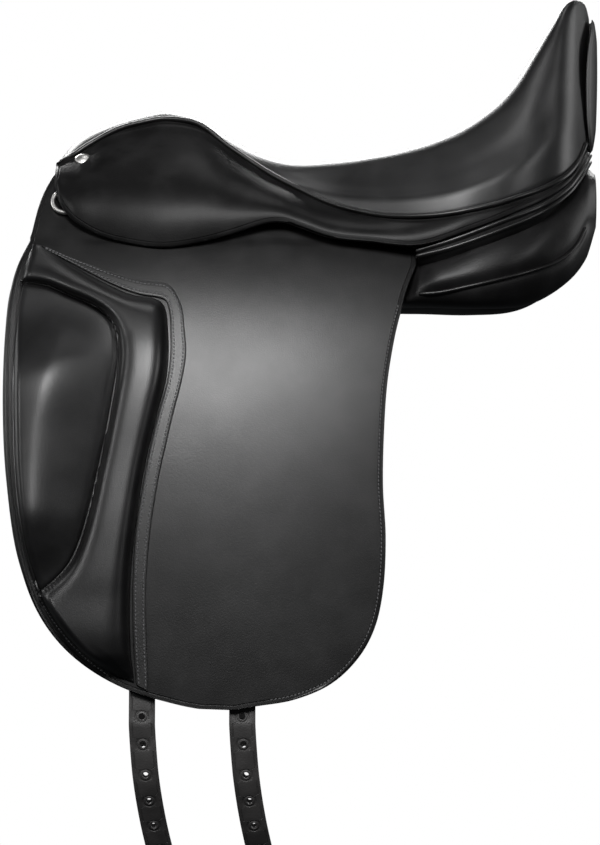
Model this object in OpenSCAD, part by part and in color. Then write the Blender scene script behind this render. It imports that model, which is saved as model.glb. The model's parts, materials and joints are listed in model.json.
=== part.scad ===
// English dressage saddle, near side at -Y, pommel at -X, +Z up.
// The origin is on the centre plane, level with the two panels' bearing faces
// under the deepest part of the seat.

/* [Saddle] */
// Half the distance between the sweat flaps where the flaps fold
half_width = 96; // [94:1:96]
// How much of the sides' flare comes from the bulge over the panels
side_bulge = 45; // [42:1:48]
// Outward run of the side for each millimetre down, below the bulge
side_run = 0.17; // [0.15:0.01:0.19]
// How far the side curves in, 100 mm ahead of or behind its middle
side_bow = 3; // [2:0.5:4]

/* [Leather] */
// Thickness of the flaps
flap_t = 3.5; // [3:0.5:4]
// Thickness of the skirts
skirt_t = 3.5; // [3:0.5:4]
// Thickness of the sweat flaps
sweat_t = 2.5; // [2:0.5:3]
// Thickness of the seat cover
cover_t = 2.5; // [2:0.5:3]

/* [Girth straps] */
// Width of a girth strap
strap_w = 21; // [20:1:24]
// Thickness of a girth strap
strap_t = 3.5; // [3:0.5:3.5]
// Distance from one buckle hole to the next
hole_pitch = 22; // [20:0.5:22]
// Radius of a buckle hole
hole_r = 2.3; // [2:0.1:2.5]
// Number of buckle holes in the hanging end of each strap
hole_count = 8; // [6:1:8]

/* [Metalwork] */
// Radius of the wire of the dee rings
dee_wire_r = 1.8; // [1.6:0.1:1.8]
// Radius of the bow of the dee rings, to the middle of the wire
dee_r = 12; // [11:0.5:12]
// Height of the stirrup bar's rod
bar_h = 14; // [13:1:15]
// Thickness of the stirrup bar's rod
bar_t = 6; // [5:0.5:6]

/* [Hidden] */
$fn = 48;

// Layers on the side, as distances out from the sweat flap's inner face
strap_k = 4.2;
flap_k = 9.2;
block_k = flap_k + flap_t + 0.4;
gap = 0.4;

// ---------- helpers ----------
function mix(a, b, t) = a + (b - a) * t;
function limit(t) = min(1, max(0, t));
function steps(n) = [for (i = [0 : n]) i / n];
function span(a, b, n) = [for (t = steps(n)) mix(a, b, t)];

// Smooth curve through a list of points, at u from 0 to 1
function knot(p, i) = p[min(len(p) - 1, max(0, i))];
function curve(p, u) =
    let (n = len(p) - 1, s = min(n - 1e-6, max(0, u * n)), i = floor(s), t = s - i,
         a = knot(p, i - 1), b = knot(p, i), c = knot(p, i + 1), d = knot(p, i + 2))
    0.5 * (2 * b + (c - a) * t + (2 * a - 5 * b + 4 * c - d) * t * t
        + (3 * b - a - 3 * c + d) * t * t * t);

// Row of a table at x: each row starts with its own x, and the rows between are blended smoothly
function seg(t, x, i = 0) = i >= len(t) - 2 || x < t[i + 1][0] ? i : seg(t, x, i + 1);
function rate(t, i) =
    let (a = t[max(0, i - 1)], b = t[min(len(t) - 1, i + 1)]) (b - a) / (b[0] - a[0]);
function at(t, x) =
    let (i = seg(t, x), a = t[i], b = t[i + 1], h = b[0] - a[0], s = limit((x - a[0]) / h),
         r = 1 - s)
    a * ((1 + 2 * s) * r * r) + rate(t, i) * (h * s * r * r)
        + b * (s * s * (3 - 2 * s)) - rate(t, i + 1) * (h * s * s * r);

// Closed solid between two grids of points of the same size. On the first grid, the direction of its
// rows crossed with the direction of its columns points away from the second.
module slab(first, second) {
    rows = len(first);
    cols = len(first[0]);
    function id(side, r, c) = (side * rows + r) * cols + c;
    function quad(a, b, c, d) = [[a, b, c], [a, c, d]];
    faces = [
        for (r = [0 : rows - 2], c = [0 : cols - 2]) each concat(
            quad(id(0, r, c), id(0, r, c + 1), id(0, r + 1, c + 1), id(0, r + 1, c)),
            quad(id(1, r, c), id(1, r + 1, c), id(1, r + 1, c + 1), id(1, r, c + 1))),
        for (r = [0 : rows - 2]) each concat(
            quad(id(0, r, 0), id(0, r + 1, 0), id(1, r + 1, 0), id(1, r, 0)),
            quad(id(0, r, cols - 1), id(1, r, cols - 1), id(1, r + 1, cols - 1), id(0, r + 1, cols - 1))),
        for (c = [0 : cols - 2]) each concat(
            quad(id(0, 0, c), id(1, 0, c), id(1, 0, c + 1), id(0, 0, c + 1)),
            quad(id(0, rows - 1, c), id(0, rows - 1, c + 1), id(1, rows - 1, c + 1), id(1, rows - 1, c)))
    ];
    polyhedron([for (g = [first, second]) for (r = g) each r], faces, convexity = 8);
}

// Closed solid through a row of rings with the same number of points
module loft(rings) {
    n = len(rings[0]);
    last = len(rings) - 1;
    faces = [
        for (r = [0 : last - 1], i = [0 : n - 1]) each let (j = (i + 1) % n)
            [[r * n + i, (r + 1) * n + j, r * n + j], [r * n + i, (r + 1) * n + i, (r + 1) * n + j]],
        for (i = [1 : n - 2]) [0, i, i + 1],
        for (i = [1 : n - 2]) [last * n, last * n + i + 1, last * n + i]
    ];
    polyhedron([for (r = rings) each r], faces, convexity = 8);
}

// Rounded rectangle as points, centred, with a point on its corners at every step degrees
function round_rect(w, h, r, step = 15) = [
    for (q = [0 : 3], a = [0 : step : 90])
        [(q == 0 || q == 3 ? 1 : -1) * (w / 2 - r) + r * cos(q * 90 + a),
         (q < 2 ? 1 : -1) * (h / 2 - r) + r * sin(q * 90 + a)]
];

// Parts are drawn on the +Y side; the left one is the mirror image
module left() { mirror([0, 1, 0]) children(); }

// ---------- the side: sweat flap, straps, flap and block lie on it in layers ----------
fold_front = [-223, 46];
fold_rear = [96, 26];
bulge_depth = 90;
side_mid_x = -80;
function fold_z(x) = mix(fold_front.y, fold_rear.y, (x - fold_front.x) / (fold_rear.x - fold_front.x));
function side_y(x, z) =
    let (d = 45 - z)
    half_width - side_bow * pow((x - side_mid_x) / 100, 2)
        + (d > 0 ? side_bulge * (1 - exp(-d / bulge_depth)) + side_run * d : 0.6 * d - 0.002 * d * d);
function side_slope(x, z) = (side_y(x, z - 1) - side_y(x, z + 1)) / 2;
function layer(p, k) = [p.x, side_y(p.x, p.y) + k * sqrt(1 + pow(side_slope(p.x, p.y), 2)), p.y];

// A sheet on the side between a list of [front, rear] points, from k0 to k1
function sheet_grid(pairs, rows, cols, k, lift = 0) = [
    for (u = steps(rows)) let (pair = curve(pairs, u))
        [for (v = steps(cols)) layer(mix(pair[0], pair[1], v), k + lift * block_height(u, v))]
];
module side_sheet(pairs, rows, cols, k0, k1)
    slab(sheet_grid(pairs, rows, cols, k0), sheet_grid(pairs, rows, cols, k1));

// ---------- flap, sweat flap ----------
flap_pairs = [
    [fold_front, fold_rear], [[-232, 26], [88, 6]], [[-237, 6], [83, -12]], [[-240, -20], [77, -36]],
    [[-241, -60], [71, -72]], [[-240, -105], [68, -113]], [[-237, -150], [67, -155]],
    [[-231, -190], [69, -196]], [[-222, -228], [67, -236]], [[-209, -258], [60, -268]],
    [[-190, -283], [46, -293]], [[-165, -303], [24, -313]], [[-135, -318], [-5, -325]],
    [[-100, -328], [-35, -330]], [[-80, -332], [-52, -333]]
];
module flap_right() color("#1c1c1e") side_sheet(flap_pairs, 24, 10, flap_k, flap_k + flap_t);

// Upper edge of the part of the flap that is nailed to the tree, under the skirt
flap_top_edge = [
    [-222.5, 49], [-217, 76], [-209, 97], [-201, 107], [-190, 101], [-176, 82], [-162, 61],
    [-150, 55], [-88, 55], [-70, 63], [-20, 66], [30, 61], [70, 50], [96, 39]
];
module flap_top_right() color("#1c1c1e") {
    grid = [for (k = [flap_k, flap_k + flap_t]) [
        for (u = steps(22)) let (x = mix(-222.5, 96, pow(u, 1.3)), top = at(flap_top_edge, x)[1])
            [for (v = steps(4)) layer([x, mix(fold_z(x) + gap, top, v)], k)]
    ]];
    slab(grid[0], grid[1]);
}

sweat_pairs = [
    [[-221, 47], [84, 28]], [[-237, 10], [74, -12]], [[-241.5, -30], [66, -45]], [[-242, -90], [55, -100]],
    [[-238, -150], [54, -155]], [[-227, -215], [54, -215]], [[-204, -266], [46, -262]],
    [[-165, -304], [22, -298]], [[-110, -326], [-35, -322]]
];
module sweat_flap_right() color("#222224") side_sheet(sweat_pairs, 16, 8, 0, sweat_t);

// ---------- knee block ----------
block_pairs = [
    [[-217, 39], [-210, 36]], [[-224, 26], [-178, 20]], [[-229, 8], [-142, 2]], [[-232, -12], [-113, -6]],
    [[-233, -35], [-107, -34]], [[-233, -65], [-108, -66]], [[-232, -100], [-116, -100]],
    [[-230, -140], [-125, -140]], [[-226, -175], [-131, -180]], [[-219, -210], [-135, -220]],
    [[-208, -240], [-136, -255]], [[-192, -266], [-135, -285]], [[-172, -288], [-133, -302]],
    [[-150, -305], [-132, -311]]
];
inset_pairs = [
    [[-226, 10], [-208, 9]], [[-228, -2], [-178, -5]], [[-229, -20], [-155, -22]], [[-229, -45], [-149, -45]],
    [[-229, -80], [-150, -80]], [[-229, -120], [-156, -120]], [[-226, -155], [-166, -158]],
    [[-220, -188], [-175, -192]], [[-213, -212], [-187, -215]], [[-206, -226], [-199, -228]]
];
block_rise = [[0, 3], [0.1, 15], [0.25, 25], [0.5, 27], [0.75, 23], [0.9, 13], [1, 3]];
block_across = [[0, 0.12], [0.12, 0.6], [0.3, 0.68], [0.55, 0.66], [0.75, 1], [0.9, 0.72], [1, 0.1]];
function block_height(u, v) = at(block_rise, u)[1] * at(block_across, v)[1];
// Height of the block's face above the flap at a point of the side
block_top_z = 38;
block_bottom_z = -308;
function block_face(p) =
    let (u = limit((block_top_z - p.y) / (block_top_z - block_bottom_z)), pair = curve(block_pairs, u),
         v = limit((p.x - pair[0].x) / (pair[1].x - pair[0].x)))
    block_height(u, v);
module knee_block_right() color("#18181a")
    slab(sheet_grid(block_pairs, 22, 10, block_k), sheet_grid(block_pairs, 22, 10, block_k, 1));
inset_t = 1.5;
inset_lift = 5.5;
module block_inset_right() color("#121214") {
    grid = [for (t = [0, inset_t]) [
        for (u = steps(14)) let (pair = curve(inset_pairs, u))
            [for (v = steps(7)) let (p = mix(pair[0], pair[1], v))
                layer(p, block_k + block_face(p) + inset_lift + t)]
    ]];
    slab(grid[0], grid[1]);
}
border_pairs = [
    [[-184, 25], [-183, 29]], [[-153, 10], [-151, 18]], [[-132, 2], [-130, 12.5]], [[-112, -2], [-108, 9]],
    [[-107, -12], [-97, -8]], [[-105.5, -30], [-94, -27]], [[-105.5, -50], [-92.5, -48]],
    [[-108, -72], [-96, -71]], [[-115, -98], [-102.5, -97]], [[-121, -124], [-108.5, -124]],
    [[-126, -151], [-114, -150]], [[-132, -190], [-120, -190]], [[-134, -230], [-123, -230]],
    [[-134, -256], [-123, -256]], [[-133, -284], [-122, -284]], [[-131, -308], [-121, -308]],
    [[-130, -313], [-121, -318]]
];
border_t = 1.8;
module block_border_right() color("#202022")
    side_sheet(border_pairs, 34, 2, flap_k + flap_t + 0.1, flap_k + flap_t + 0.1 + border_t);

// ---------- seat: [x, silhouette height, welt height, half width, dish, foam depth] ----------
seat_rows = [
    [-202, 121, 113, 44, 0, 4], [-191, 134, 118.5, 50, 0, 9], [-177, 143, 128, 48, 0, 17],
    [-153, 152, 141.5, 41, 0, 25], [-128, 158.5, 148.5, 36.5, 0, 32], [-112, 160.5, 150.5, 36, 0, 34],
    [-85, 153.5, 145.5, 41, 0, 34], [-60, 138, 126.5, 49, 0, 28], [-34, 124, 108.5, 58, 0, 25],
    [-8, 117, 93, 70, 0.02, 22], [26, 117, 76.5, 84, 0.08, 24], [60, 119.5, 67, 99, 0.13, 28],
    [85, 124, 64.5, 108, 0.17, 31], [111, 131.5, 65, 114, 0.2, 34], [136, 142.5, 68.5, 116.5, 0.2, 36],
    [162, 160.5, 74.5, 113.5, 0.19, 38], [179, 179, 80, 108.5, 0.17, 39], [196, 205, 86, 100, 0.15, 38],
    [213, 232, 94.5, 87, 0.13, 34], [222, 246, 100.5, 76, 0.11, 30], [230, 252.5, 109, 61, 0.08, 24],
    [237, 253.5, 120, 42, 0.05, 16], [243, 249, 135, 24, 0.02, 10], [247, 236, 150, 8, 0, 6]
];
seat_front = -202;
seat_rear = 247;
// Share of the height over the welt, at q from 0 on the centre plane to 1 at the welt
arch = [[0, 1], [0.25, 0.97], [0.5, 0.87], [0.68, 0.7], [0.82, 0.48], [0.93, 0.22], [1, 0]];
rim = [[0, 1], [0.25, 1], [0.5, 1], [0.68, 0.9], [0.82, 0.62], [0.93, 0.27], [1, 0]];
function dish_share(q) = q < 0.5 ? pow(1 - pow(q / 0.5, 2), 1.5) : 0;
function seat_share(x, q, dish) =
    mix(at(arch, q)[1], at(rim, q)[1], limit((x + 60) / 120)) - dish * dish_share(q);
// Point of the seat's surface, moved in by side_in at the edges, down by down at the top, and down
// by a share of the foam's depth
most_end_in = 9;
function seat_point(x, q, side_in, down, share = 0) =
    let (s = at(seat_rows, x), drop = down + share * s[5], w = s[3] - min(side_in, 0.7 * s[3]),
         h = s[1] - drop - s[2],
         ends = min(side_in, most_end_in) * 0.8,
         xx = mix(seat_front + ends, seat_rear - ends, (x - seat_front) / (seat_rear - seat_front)))
    [xx, q * w, s[2] + h * seat_share(x, abs(q), s[4])];
// Stations are closer together towards the cantle
function seat_x(x0, x1, n) = [for (u = steps(n)) mix(x0, x1, 1 - pow(1 - u, 1.25))];
function seat_grid(xs, cols, edge, side_in, down, share = 0) =
    [for (x = xs) [for (q = span(-edge, edge, cols)) seat_point(x, q, side_in, down, share)]];

module seat_cover() color("#1a1a1c") {
    xs = seat_x(seat_front, seat_rear, 38);
    slab(seat_grid(xs, 20, 1, 0, 0), seat_grid(xs, 20, 1, cover_t, cover_t));
}
module seat_foam() color("#c9b26a") {
    xs = seat_x(seat_front + 12, seat_rear - 3, 24);
    slab(seat_grid(xs, 12, 0.95, 6.5, 6), seat_grid(xs, 12, 0.95, 10, 0, 1));
}
module tree_cantle() color("#c8a468") {
    xs = span(136, 238, 9);
    slab(seat_grid(xs, 12, 0.9, 12, 5, 1), seat_grid(xs, 12, 0.9, 20, 17, 1));
}
module straining_webs() color("#e5dcc2") {
    xs = span(-158, 130, 16);
    slab(seat_grid(xs, 4, 0.5, 9, 1.5, 1), seat_grid(xs, 4, 0.5, 9, 3.5, 1));
}

// Padded leather piece that closes the back of the cantle
back_rows = [[126, 18.5], [138, 27.3], [155, 34.3], [185, 37], [215, 30.8], [240, 13.2]];
back_z = [126, 238];
back_mid = [248.6, 195];
// How fast the back curves away from its middle, up and down and to the sides
back_curve = [0.00048, 0.0063];
back_t = [1.2, 4];
module cantle_back() color("#161618") {
    grid = [for (t = back_t) [
        for (z = span(back_z[0], back_z[1], 10)) let (w = at(back_rows, z)[1])
            [for (y = span(-w, w, 8))
                [back_mid.x - back_curve[0] * pow(z - back_mid.y, 2) - back_curve[1] * y * y + t, y, z]]
    ]];
    slab(grid[0], grid[1]);
}

// ---------- skirt: [x, top height, top half width, bottom height, bottom half width] ----------
skirt_rows = [
    [-204, 111, 63, 93, 86], [-200, 114, 57, 80, 97], [-194, 117, 53, 70, 103], [-185, 121, 52, 61, 108],
    [-165, 136, 45.5, 50, 112], [-139, 144.5, 39.5, 43, 116], [-112, 149, 37.5, 40, 118.5],
    [-82, 143.5, 42, 44, 118.5], [-54, 122, 52.5, 51.5, 117], [-29, 104, 62, 59.4, 115],
    [-14, 95.5, 69, 60.5, 114.5], [0, 88, 76, 56, 115.5], [25, 76, 85.5, 47.5, 119], [57, 66.5, 100, 44, 121],
    [98, 63, 113, 41, 123.5], [140, 68, 118.5, 54, 122], [180, 78.5, 110.5, 70, 114], [210, 91, 93, 85, 97],
    [230, 107, 63, 102, 68], [241, 126, 30, 121, 34]
];
skirt_curl = 2.4;
function skirt_point(x, v, in) =
    let (s = at(skirt_rows, x), z = mix(s[1], s[3], v),
         y = mix(s[2], s[4], 1 - pow(1 - limit(v), skirt_curl)),
         lean = skirt_curl * (s[4] - s[2]) * pow(1 - limit(v), skirt_curl - 1) / max(1, s[1] - s[3]),
         n = sqrt(1 + lean * lean))
    [x, y - in / n, z - in * lean / n];
// The skirt's lower front part lifts about a line from its front edge to the notch in its lower edge
skirt_fold_a = [-204, 93];
skirt_fold_b = [-14, 61];
function skirt_fold_z(x) =
    mix(skirt_fold_a.y, skirt_fold_b.y, (x - skirt_fold_a.x) / (skirt_fold_b.x - skirt_fold_a.x));
function skirt_fold_v(x) =
    let (s = at(skirt_rows, x)) limit((s[1] - skirt_fold_z(x)) / (s[1] - s[3]));
module skirt_strip(xs, v0, v1, rows) {
    grid = [for (in = [0, skirt_t]) [
        for (x = xs) [for (v = steps(rows)) skirt_point(x, mix(v0(x), v1(x), v), in)]
    ]];
    slab(grid[0], grid[1]);
}
function full_height(x) = 1;
function top_edge(x) = 0.02;
function above_fold(x) =
    x > skirt_fold_b.x - 1 ? 1
    : skirt_fold_v(x) - gap / (at(skirt_rows, x)[1] - at(skirt_rows, x)[3]);
function below_fold(x) = skirt_fold_v(x) + gap / (at(skirt_rows, x)[1] - at(skirt_rows, x)[3]);
module skirt_top_right() color("#1a1a1c")
    skirt_strip(
        concat([-203.5, -201, -197, -191], span(-184, -15.5, 12), span(-13, 241, 20)),
        function (x) top_edge(x), function (x) above_fold(x), 4);
module skirt_right() color("#1a1a1c")
    skirt_strip(
        concat([-203.2, -201, -198, -194, -189], span(-183, -21, 14)),
        function (x) below_fold(x), function (x) full_height(x), 4);

// Domed nail that holds the skirt's front to the tree
nail_x = -181;
nail_v = 0.12;
nail_lean = 52;
nail_head_r = 7;
nail_dome_r = 10.4;
nail_shank = 8;
module skirt_nail_right() color("silver") {
    p = skirt_point(nail_x, nail_v, 0);
    translate(p) rotate([nail_lean, 0, 0]) rotate([90, 0, 180]) {
        intersection() {
            translate([0, 0, -nail_head_r]) sphere(r = nail_dome_r);
            translate([0, 0, 0.2]) cylinder(r = nail_head_r, h = 5);
        }
        translate([0, 0, -skirt_t - nail_shank]) cylinder(r = 1.2, h = skirt_t + nail_shank + 1);
    }
}

// Piping along the seam between the seat and the skirt
welt_r = 2.2;
module seat_welt_right() color("#141416") {
    xs = seat_x(-200, 241, 44);
    loft([for (x = xs) let (s = at(seat_rows, x))
        [for (a = [0 : 60 : 300]) [x, s[3] + 2.6 + welt_r * cos(a), s[2] + 1.6 + welt_r * sin(a)]]]);
}

// Rolled leather facing between the skirt's tail and the rear of the panel: [x, top, bottom, half width]
facing_rows = [
    [97, 39, 31.5, 119], [125, 48, 38, 121], [165, 63.5, 52, 118], [200, 77, 68, 106],
    [225, 94, 86, 82], [238, 110, 101, 56], [247, 124, 114, 28]
];
module rear_facing_right() color("#141416") {
    grid = [for (t = [0, 4]) [
        for (x = span(97, 247, 18)) let (s = at(facing_rows, x))
            [for (v = steps(3)) [x - t * limit((x - 200) / 47), s[3] - t, mix(s[1] - 0.4, s[2] + 0.4, v)]]
    ]];
    slab(grid[0], grid[1]);
}

// ---------- panels: rings of [half width, height], from the channel's top round under and back ----------
panel_rows = [
    [-209, [[38, 74], [34, 68], [36, 58], [45, 46], [56, 34], [63, 32], [63, 42], [56, 54], [47, 68]]],
    [-190, [[34, 83], [28, 70], [34, 42], [54, 10], [80, -22], [88, -18], [75, 14], [58, 43], [45, 70]]],
    [-160, [[32, 80], [27, 66], [34, 34], [58, 0], [88, -36], [97, -26], [79, 6], [61, 39], [45, 69]]],
    [-110, [[34, 76], [29, 54], [36, 22], [62, -6], [98, -42], [122, -42], [110, -8], [90, 26], [62, 58]]],
    [-50, [[33, 60], [30, 40], [38, 12], [62, -4], [104, -44], [134, -50], [120, -12], [100, 24], [64, 53]]],
    [0, [[33, 49], [30, 36], [38, 11], [60, -1], [104, -36], [134, -44], [120, -8], [102, 22], [66, 44]]],
    [55, [[34, 45], [31, 32], [40, 7], [66, -8], [100, -10], [126, -9], [124, 2], [112, 20], [72, 36]]],
    [100, [[34, 46], [31, 30], [44, 0], [72, -8], [98, -6], [119, 2], [120, 12], [108, 26], [76, 36]]],
    [150, [[36, 58], [33, 36], [45, 6], [72, -7], [97, -7], [118, 10], [121, 26], [109, 45], [74, 56]]],
    [190, [[40, 76], [37, 50], [44, 20], [62, -2], [84, -4], [105, 18], [111, 42], [102, 60], [70, 73]]],
    [220, [[38, 88], [36, 68], [42, 40], [53, 17], [68, 11], [84, 33], [88, 60], [79, 77], [56, 87]]],
    [240, [[28, 110], [26, 86], [32, 58], [42, 38], [53, 34], [63, 54], [64, 80], [54, 97], [40, 107]]],
    [249, [[29, 104], [28, 86], [34, 71], [40, 62], [46, 61], [50, 73], [50, 87], [45, 97], [37, 103]]]
];
function ring(points, n) = let (m = len(points)) [
    for (i = [0 : n - 1]) let (s = i * m / n, k = floor(s), t = s - k,
        a = points[(k + m - 1) % m], b = points[k], c = points[(k + 1) % m], d = points[(k + 2) % m])
    0.5 * (2 * b + (c - a) * t + (2 * a - 5 * b + 4 * c - d) * t * t
        + (3 * b - a - 3 * c + d) * t * t * t)
];
// The panel's outer side stays inside the sweat flap and the flap's top, as far back as they go
panel_gap = 1;
flap_end_x = 98;
function panel_limit(x, z) = side_y(x, z) - panel_gap + 4 * max(0, x - flap_end_x);
panel_rear_x = [104, 112, 125, 143, 162, 181, 200, 212, 222, 231, 239, 245, 249];
module panel_right() color("#262628")
    loft([for (x = concat(span(-209, flap_end_x, 14), panel_rear_x))
        [for (p = ring(at(panel_rows, x)[1], 18)) [x, min(p[0], panel_limit(x, p[1])), p[1]]]]);

// Leather pocket on the panel that takes the tree's point
pocket_front = -182;
pocket_len = 34;
pocket_outline = [
    [84.6, 34], [87.4, 34], [100, 8], [102, 0], [99, -3.5], [91, -3], [91, -0.4], [98, 0.2], [98.2, 3.4],
    [95.2, 9]
];
module point_pocket_right() color("#242426")
    translate([pocket_front, 0, 0]) rotate([90, 0, 90]) linear_extrude(pocket_len) polygon(pocket_outline);

// ---------- tree ----------
head_front = -192;
head_depth = 32;
head_outer = [[0, 120], [25, 117], [42, 108], [56, 93], [66, 74], [75, 52], [84, 32], [94, 8], [97, 3]];
head_inner = [[92, 2], [87, 6], [77, 28], [68, 46], [59, 64], [48, 84], [36, 97], [22, 104], [0, 107]];
function arch_shape(outer, inner) = concat(
    outer, inner,
    [for (i = [len(inner) - 2 : -1 : 0]) [-inner[i].x, inner[i].y]],
    [for (i = [len(outer) - 1 : -1 : 1]) [-outer[i].x, outer[i].y]]);
module arch_band(x, depth, outer, inner)
    translate([x, 0, 0]) rotate([90, 0, 90]) linear_extrude(depth) polygon(arch_shape(outer, inner));
module tree_head() color("#c8a468") arch_band(head_front, head_depth, head_outer, head_inner);

// Leather facing over the front of the head
facing_t = 2.5;
facing_outer = [[0, 119], [25, 116], [42, 107], [56, 92], [66, 73], [74, 53]];
facing_inner = [[66, 49], [59, 63], [48, 83], [36, 96], [22, 103], [0, 106]];
module pommel_facing() color("#1a1a1c")
    arch_band(head_front - facing_t - 0.1, facing_t, facing_outer, facing_inner);

// Steel arch plates over and under the head
head_plate_outer = [[0, 122.4], [26, 119.2], [43.5, 110], [58, 94.4], [68, 75], [76, 56]];
head_plate_inner = [[74.3, 55.3], [66.3, 74.2], [56.3, 93.3], [42.3, 108.3], [25.2, 117.3], [0, 120.3]];
head_plate_depth = 18;
module head_plate() color("#8d9196")
    arch_band(head_front + 7, head_plate_depth, head_plate_outer, head_plate_inner);
gullet_plate_outer = [[0, 106.7], [21.8, 103.7], [35.7, 96.7], [47.6, 83.8], [58.6, 63.8], [67, 47]];
gullet_plate_inner = [[65, 46], [56.6, 62.8], [46, 82.4], [34.7, 94.7], [21.2, 101.5], [0, 104.5]];
gullet_plate_depth = 22;
module gullet_plate() color("#8d9196")
    arch_band(head_front + 5, gullet_plate_depth, gullet_plate_outer, gullet_plate_inner);

// Side rails: [x, middle half width, middle height]
rail_rows = [
    [-160, 66, 81], [-126, 76.5, 80.5], [-97, 76.5, 76], [-71, 69, 68.5], [-45, 69, 68], [0, 73, 63],
    [50, 80, 55.5], [100, 88, 55], [134, 84, 64]
];
rail_w = 12;
rail_h = 26;
rail_round = 3;
module tree_rail_right() color("#c8a468")
    loft([for (x = span(-159.6, 134, 18)) let (s = at(rail_rows, x))
        [for (c = round_rect(rail_w, rail_h, rail_round, 45)) [x, s[1] + c.x, s[2] + c.y]]]);

bar_x = [-150, -90];
bar_z = 68;
bar_plate_y = 88.8;
bar_plate_t = 3;
bar_rod_y = 98.5;
bar_rivet_x = [-136, -96];
bar_rivet_up = 4;
bar_rivet_in = 78;
bar_rivet_r = 2.2;
bar_rivet_head = [4, 1.8];
// Rivets through the head and its two plates
head_rivet_x = [-180, -172];
head_rivet_y = 34;
head_rivet_r = 2;
head_rivet_lean = 28;
pivot_x = -92;
module tree_rivets() color("#9a9da1") {
    plate_face = bar_plate_y + bar_plate_t - bar_rivet_in;
    for (side = [-1, 1], x = bar_rivet_x)
        translate([x, side * bar_rivet_in, bar_z + bar_rivet_up]) rotate([-90 * side, 0, 0]) {
            translate([0, 0, plate_face + 0.1]) cylinder(r = bar_rivet_head[0], h = bar_rivet_head[1]);
            cylinder(r = bar_rivet_r, h = plate_face + 1);
        }
    for (x = head_rivet_x) {
        translate([x, 0, 112]) cylinder(r = head_rivet_r, h = 11.6);
        for (side = [-1, 1])
            translate([x, side * head_rivet_y, 106]) rotate([-side * head_rivet_lean, 0, 0])
                cylinder(r = head_rivet_r, h = 11.2);
    }
}

// ---------- girth webs: half of each path, as [half width, height] ----------
web_half = 25;
web_t = 2;
front_web = [
    [0, 112], [40, 109], [62, 101], [76, 98.5], [85.6, 94], [86.2, 80], [86.2, 62], [90, 52], [94, 45]
];
rear_web = [[0, 92], [36, 90], [58, 87.5], [70, 86.5], [78.5, 82], [79, 68], [82, 60], [88, 53], [92.5, 45]];
module girth_web(x, path) {
    full = concat([for (i = [len(path) - 1 : -1 : 1]) [-path[i].x, path[i].y]], path);
    function out(i) =
        let (a = full[max(0, i - 1)], b = full[min(len(full) - 1, i + 1)], d = (b - a) / norm(b - a))
        [-d.y, d.x];
    grid = [for (t = [0, web_t]) [
        for (i = [0 : len(full) - 1]) let (p = full[i] - out(i) * t)
            [for (w = [-web_half, web_half]) [x + w, p.x, p.y]]
    ]];
    slab(grid[1], grid[0]);
}
front_x = -126;
rear_x = -46;
// How much further forward the off side's straps hang at the flap's lower edge
front_off_lean = 18.2;
rear_off_lean = 6.5;
module girth_web_front() color("#e5dcc2") girth_web(front_x, front_web);
module girth_web_rear() color("#e5dcc2") girth_web(rear_x, rear_web);

// ---------- stirrup bar and its catch ----------
bar_plate_h = 18;
bar_root = 8;
pin_r = 1.5;
catch_t = 3.2;
catch_r = 4.2;
catch_reach = 11;
module stirrup_bar_right() color("#a9adb2") {
    rod_mid = bar_rod_y + bar_t / 2;
    slot_w = catch_t + 0.4;
    difference() {
        union() {
            translate([bar_x[0], bar_plate_y, bar_z - bar_plate_h / 2])
                cube([bar_x[1] - bar_x[0], bar_plate_t, bar_plate_h]);
            translate([bar_x[0], bar_plate_y, bar_z - bar_h / 2])
                cube([bar_root, bar_rod_y + bar_t - bar_plate_y, bar_h]);
            translate([bar_x[0] + 2, rod_mid, bar_z]) rotate([90, 0, 90])
                linear_extrude(pivot_x + 2 - bar_x[0]) polygon(round_rect(bar_t, bar_h, 2.4));
        }
        translate([pivot_x - 6, rod_mid - slot_w / 2, bar_z - 10]) cube([20, slot_w, 20]);
        translate([pivot_x, bar_rod_y - 1, bar_z]) rotate([-90, 0, 0]) cylinder(r = pin_r, h = bar_t + 2);
        for (x = bar_rivet_x) translate([x, bar_plate_y - 1, bar_z + bar_rivet_up]) rotate([-90, 0, 0])
            cylinder(r = bar_rivet_r + 0.1, h = bar_plate_t + 2);
    }
    translate([pivot_x, bar_rod_y + 0.2, bar_z]) rotate([-90, 0, 0]) cylinder(r = pin_r, h = bar_t - 0.4);
}
module bar_catch_right() color("#b4b8bc")
    translate([pivot_x, bar_rod_y + (bar_t + catch_t) / 2, bar_z]) rotate([90, 0, 0]) difference() {
        linear_extrude(catch_t) union() {
            circle(r = catch_r);
            translate([0, -catch_r]) square([catch_reach, 2 * catch_r]);
            translate([catch_reach, 0]) circle(r = catch_r);
        }
        translate([0, 0, -1]) cylinder(r = pin_r + 0.05, h = catch_t + 2);
    }

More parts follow.
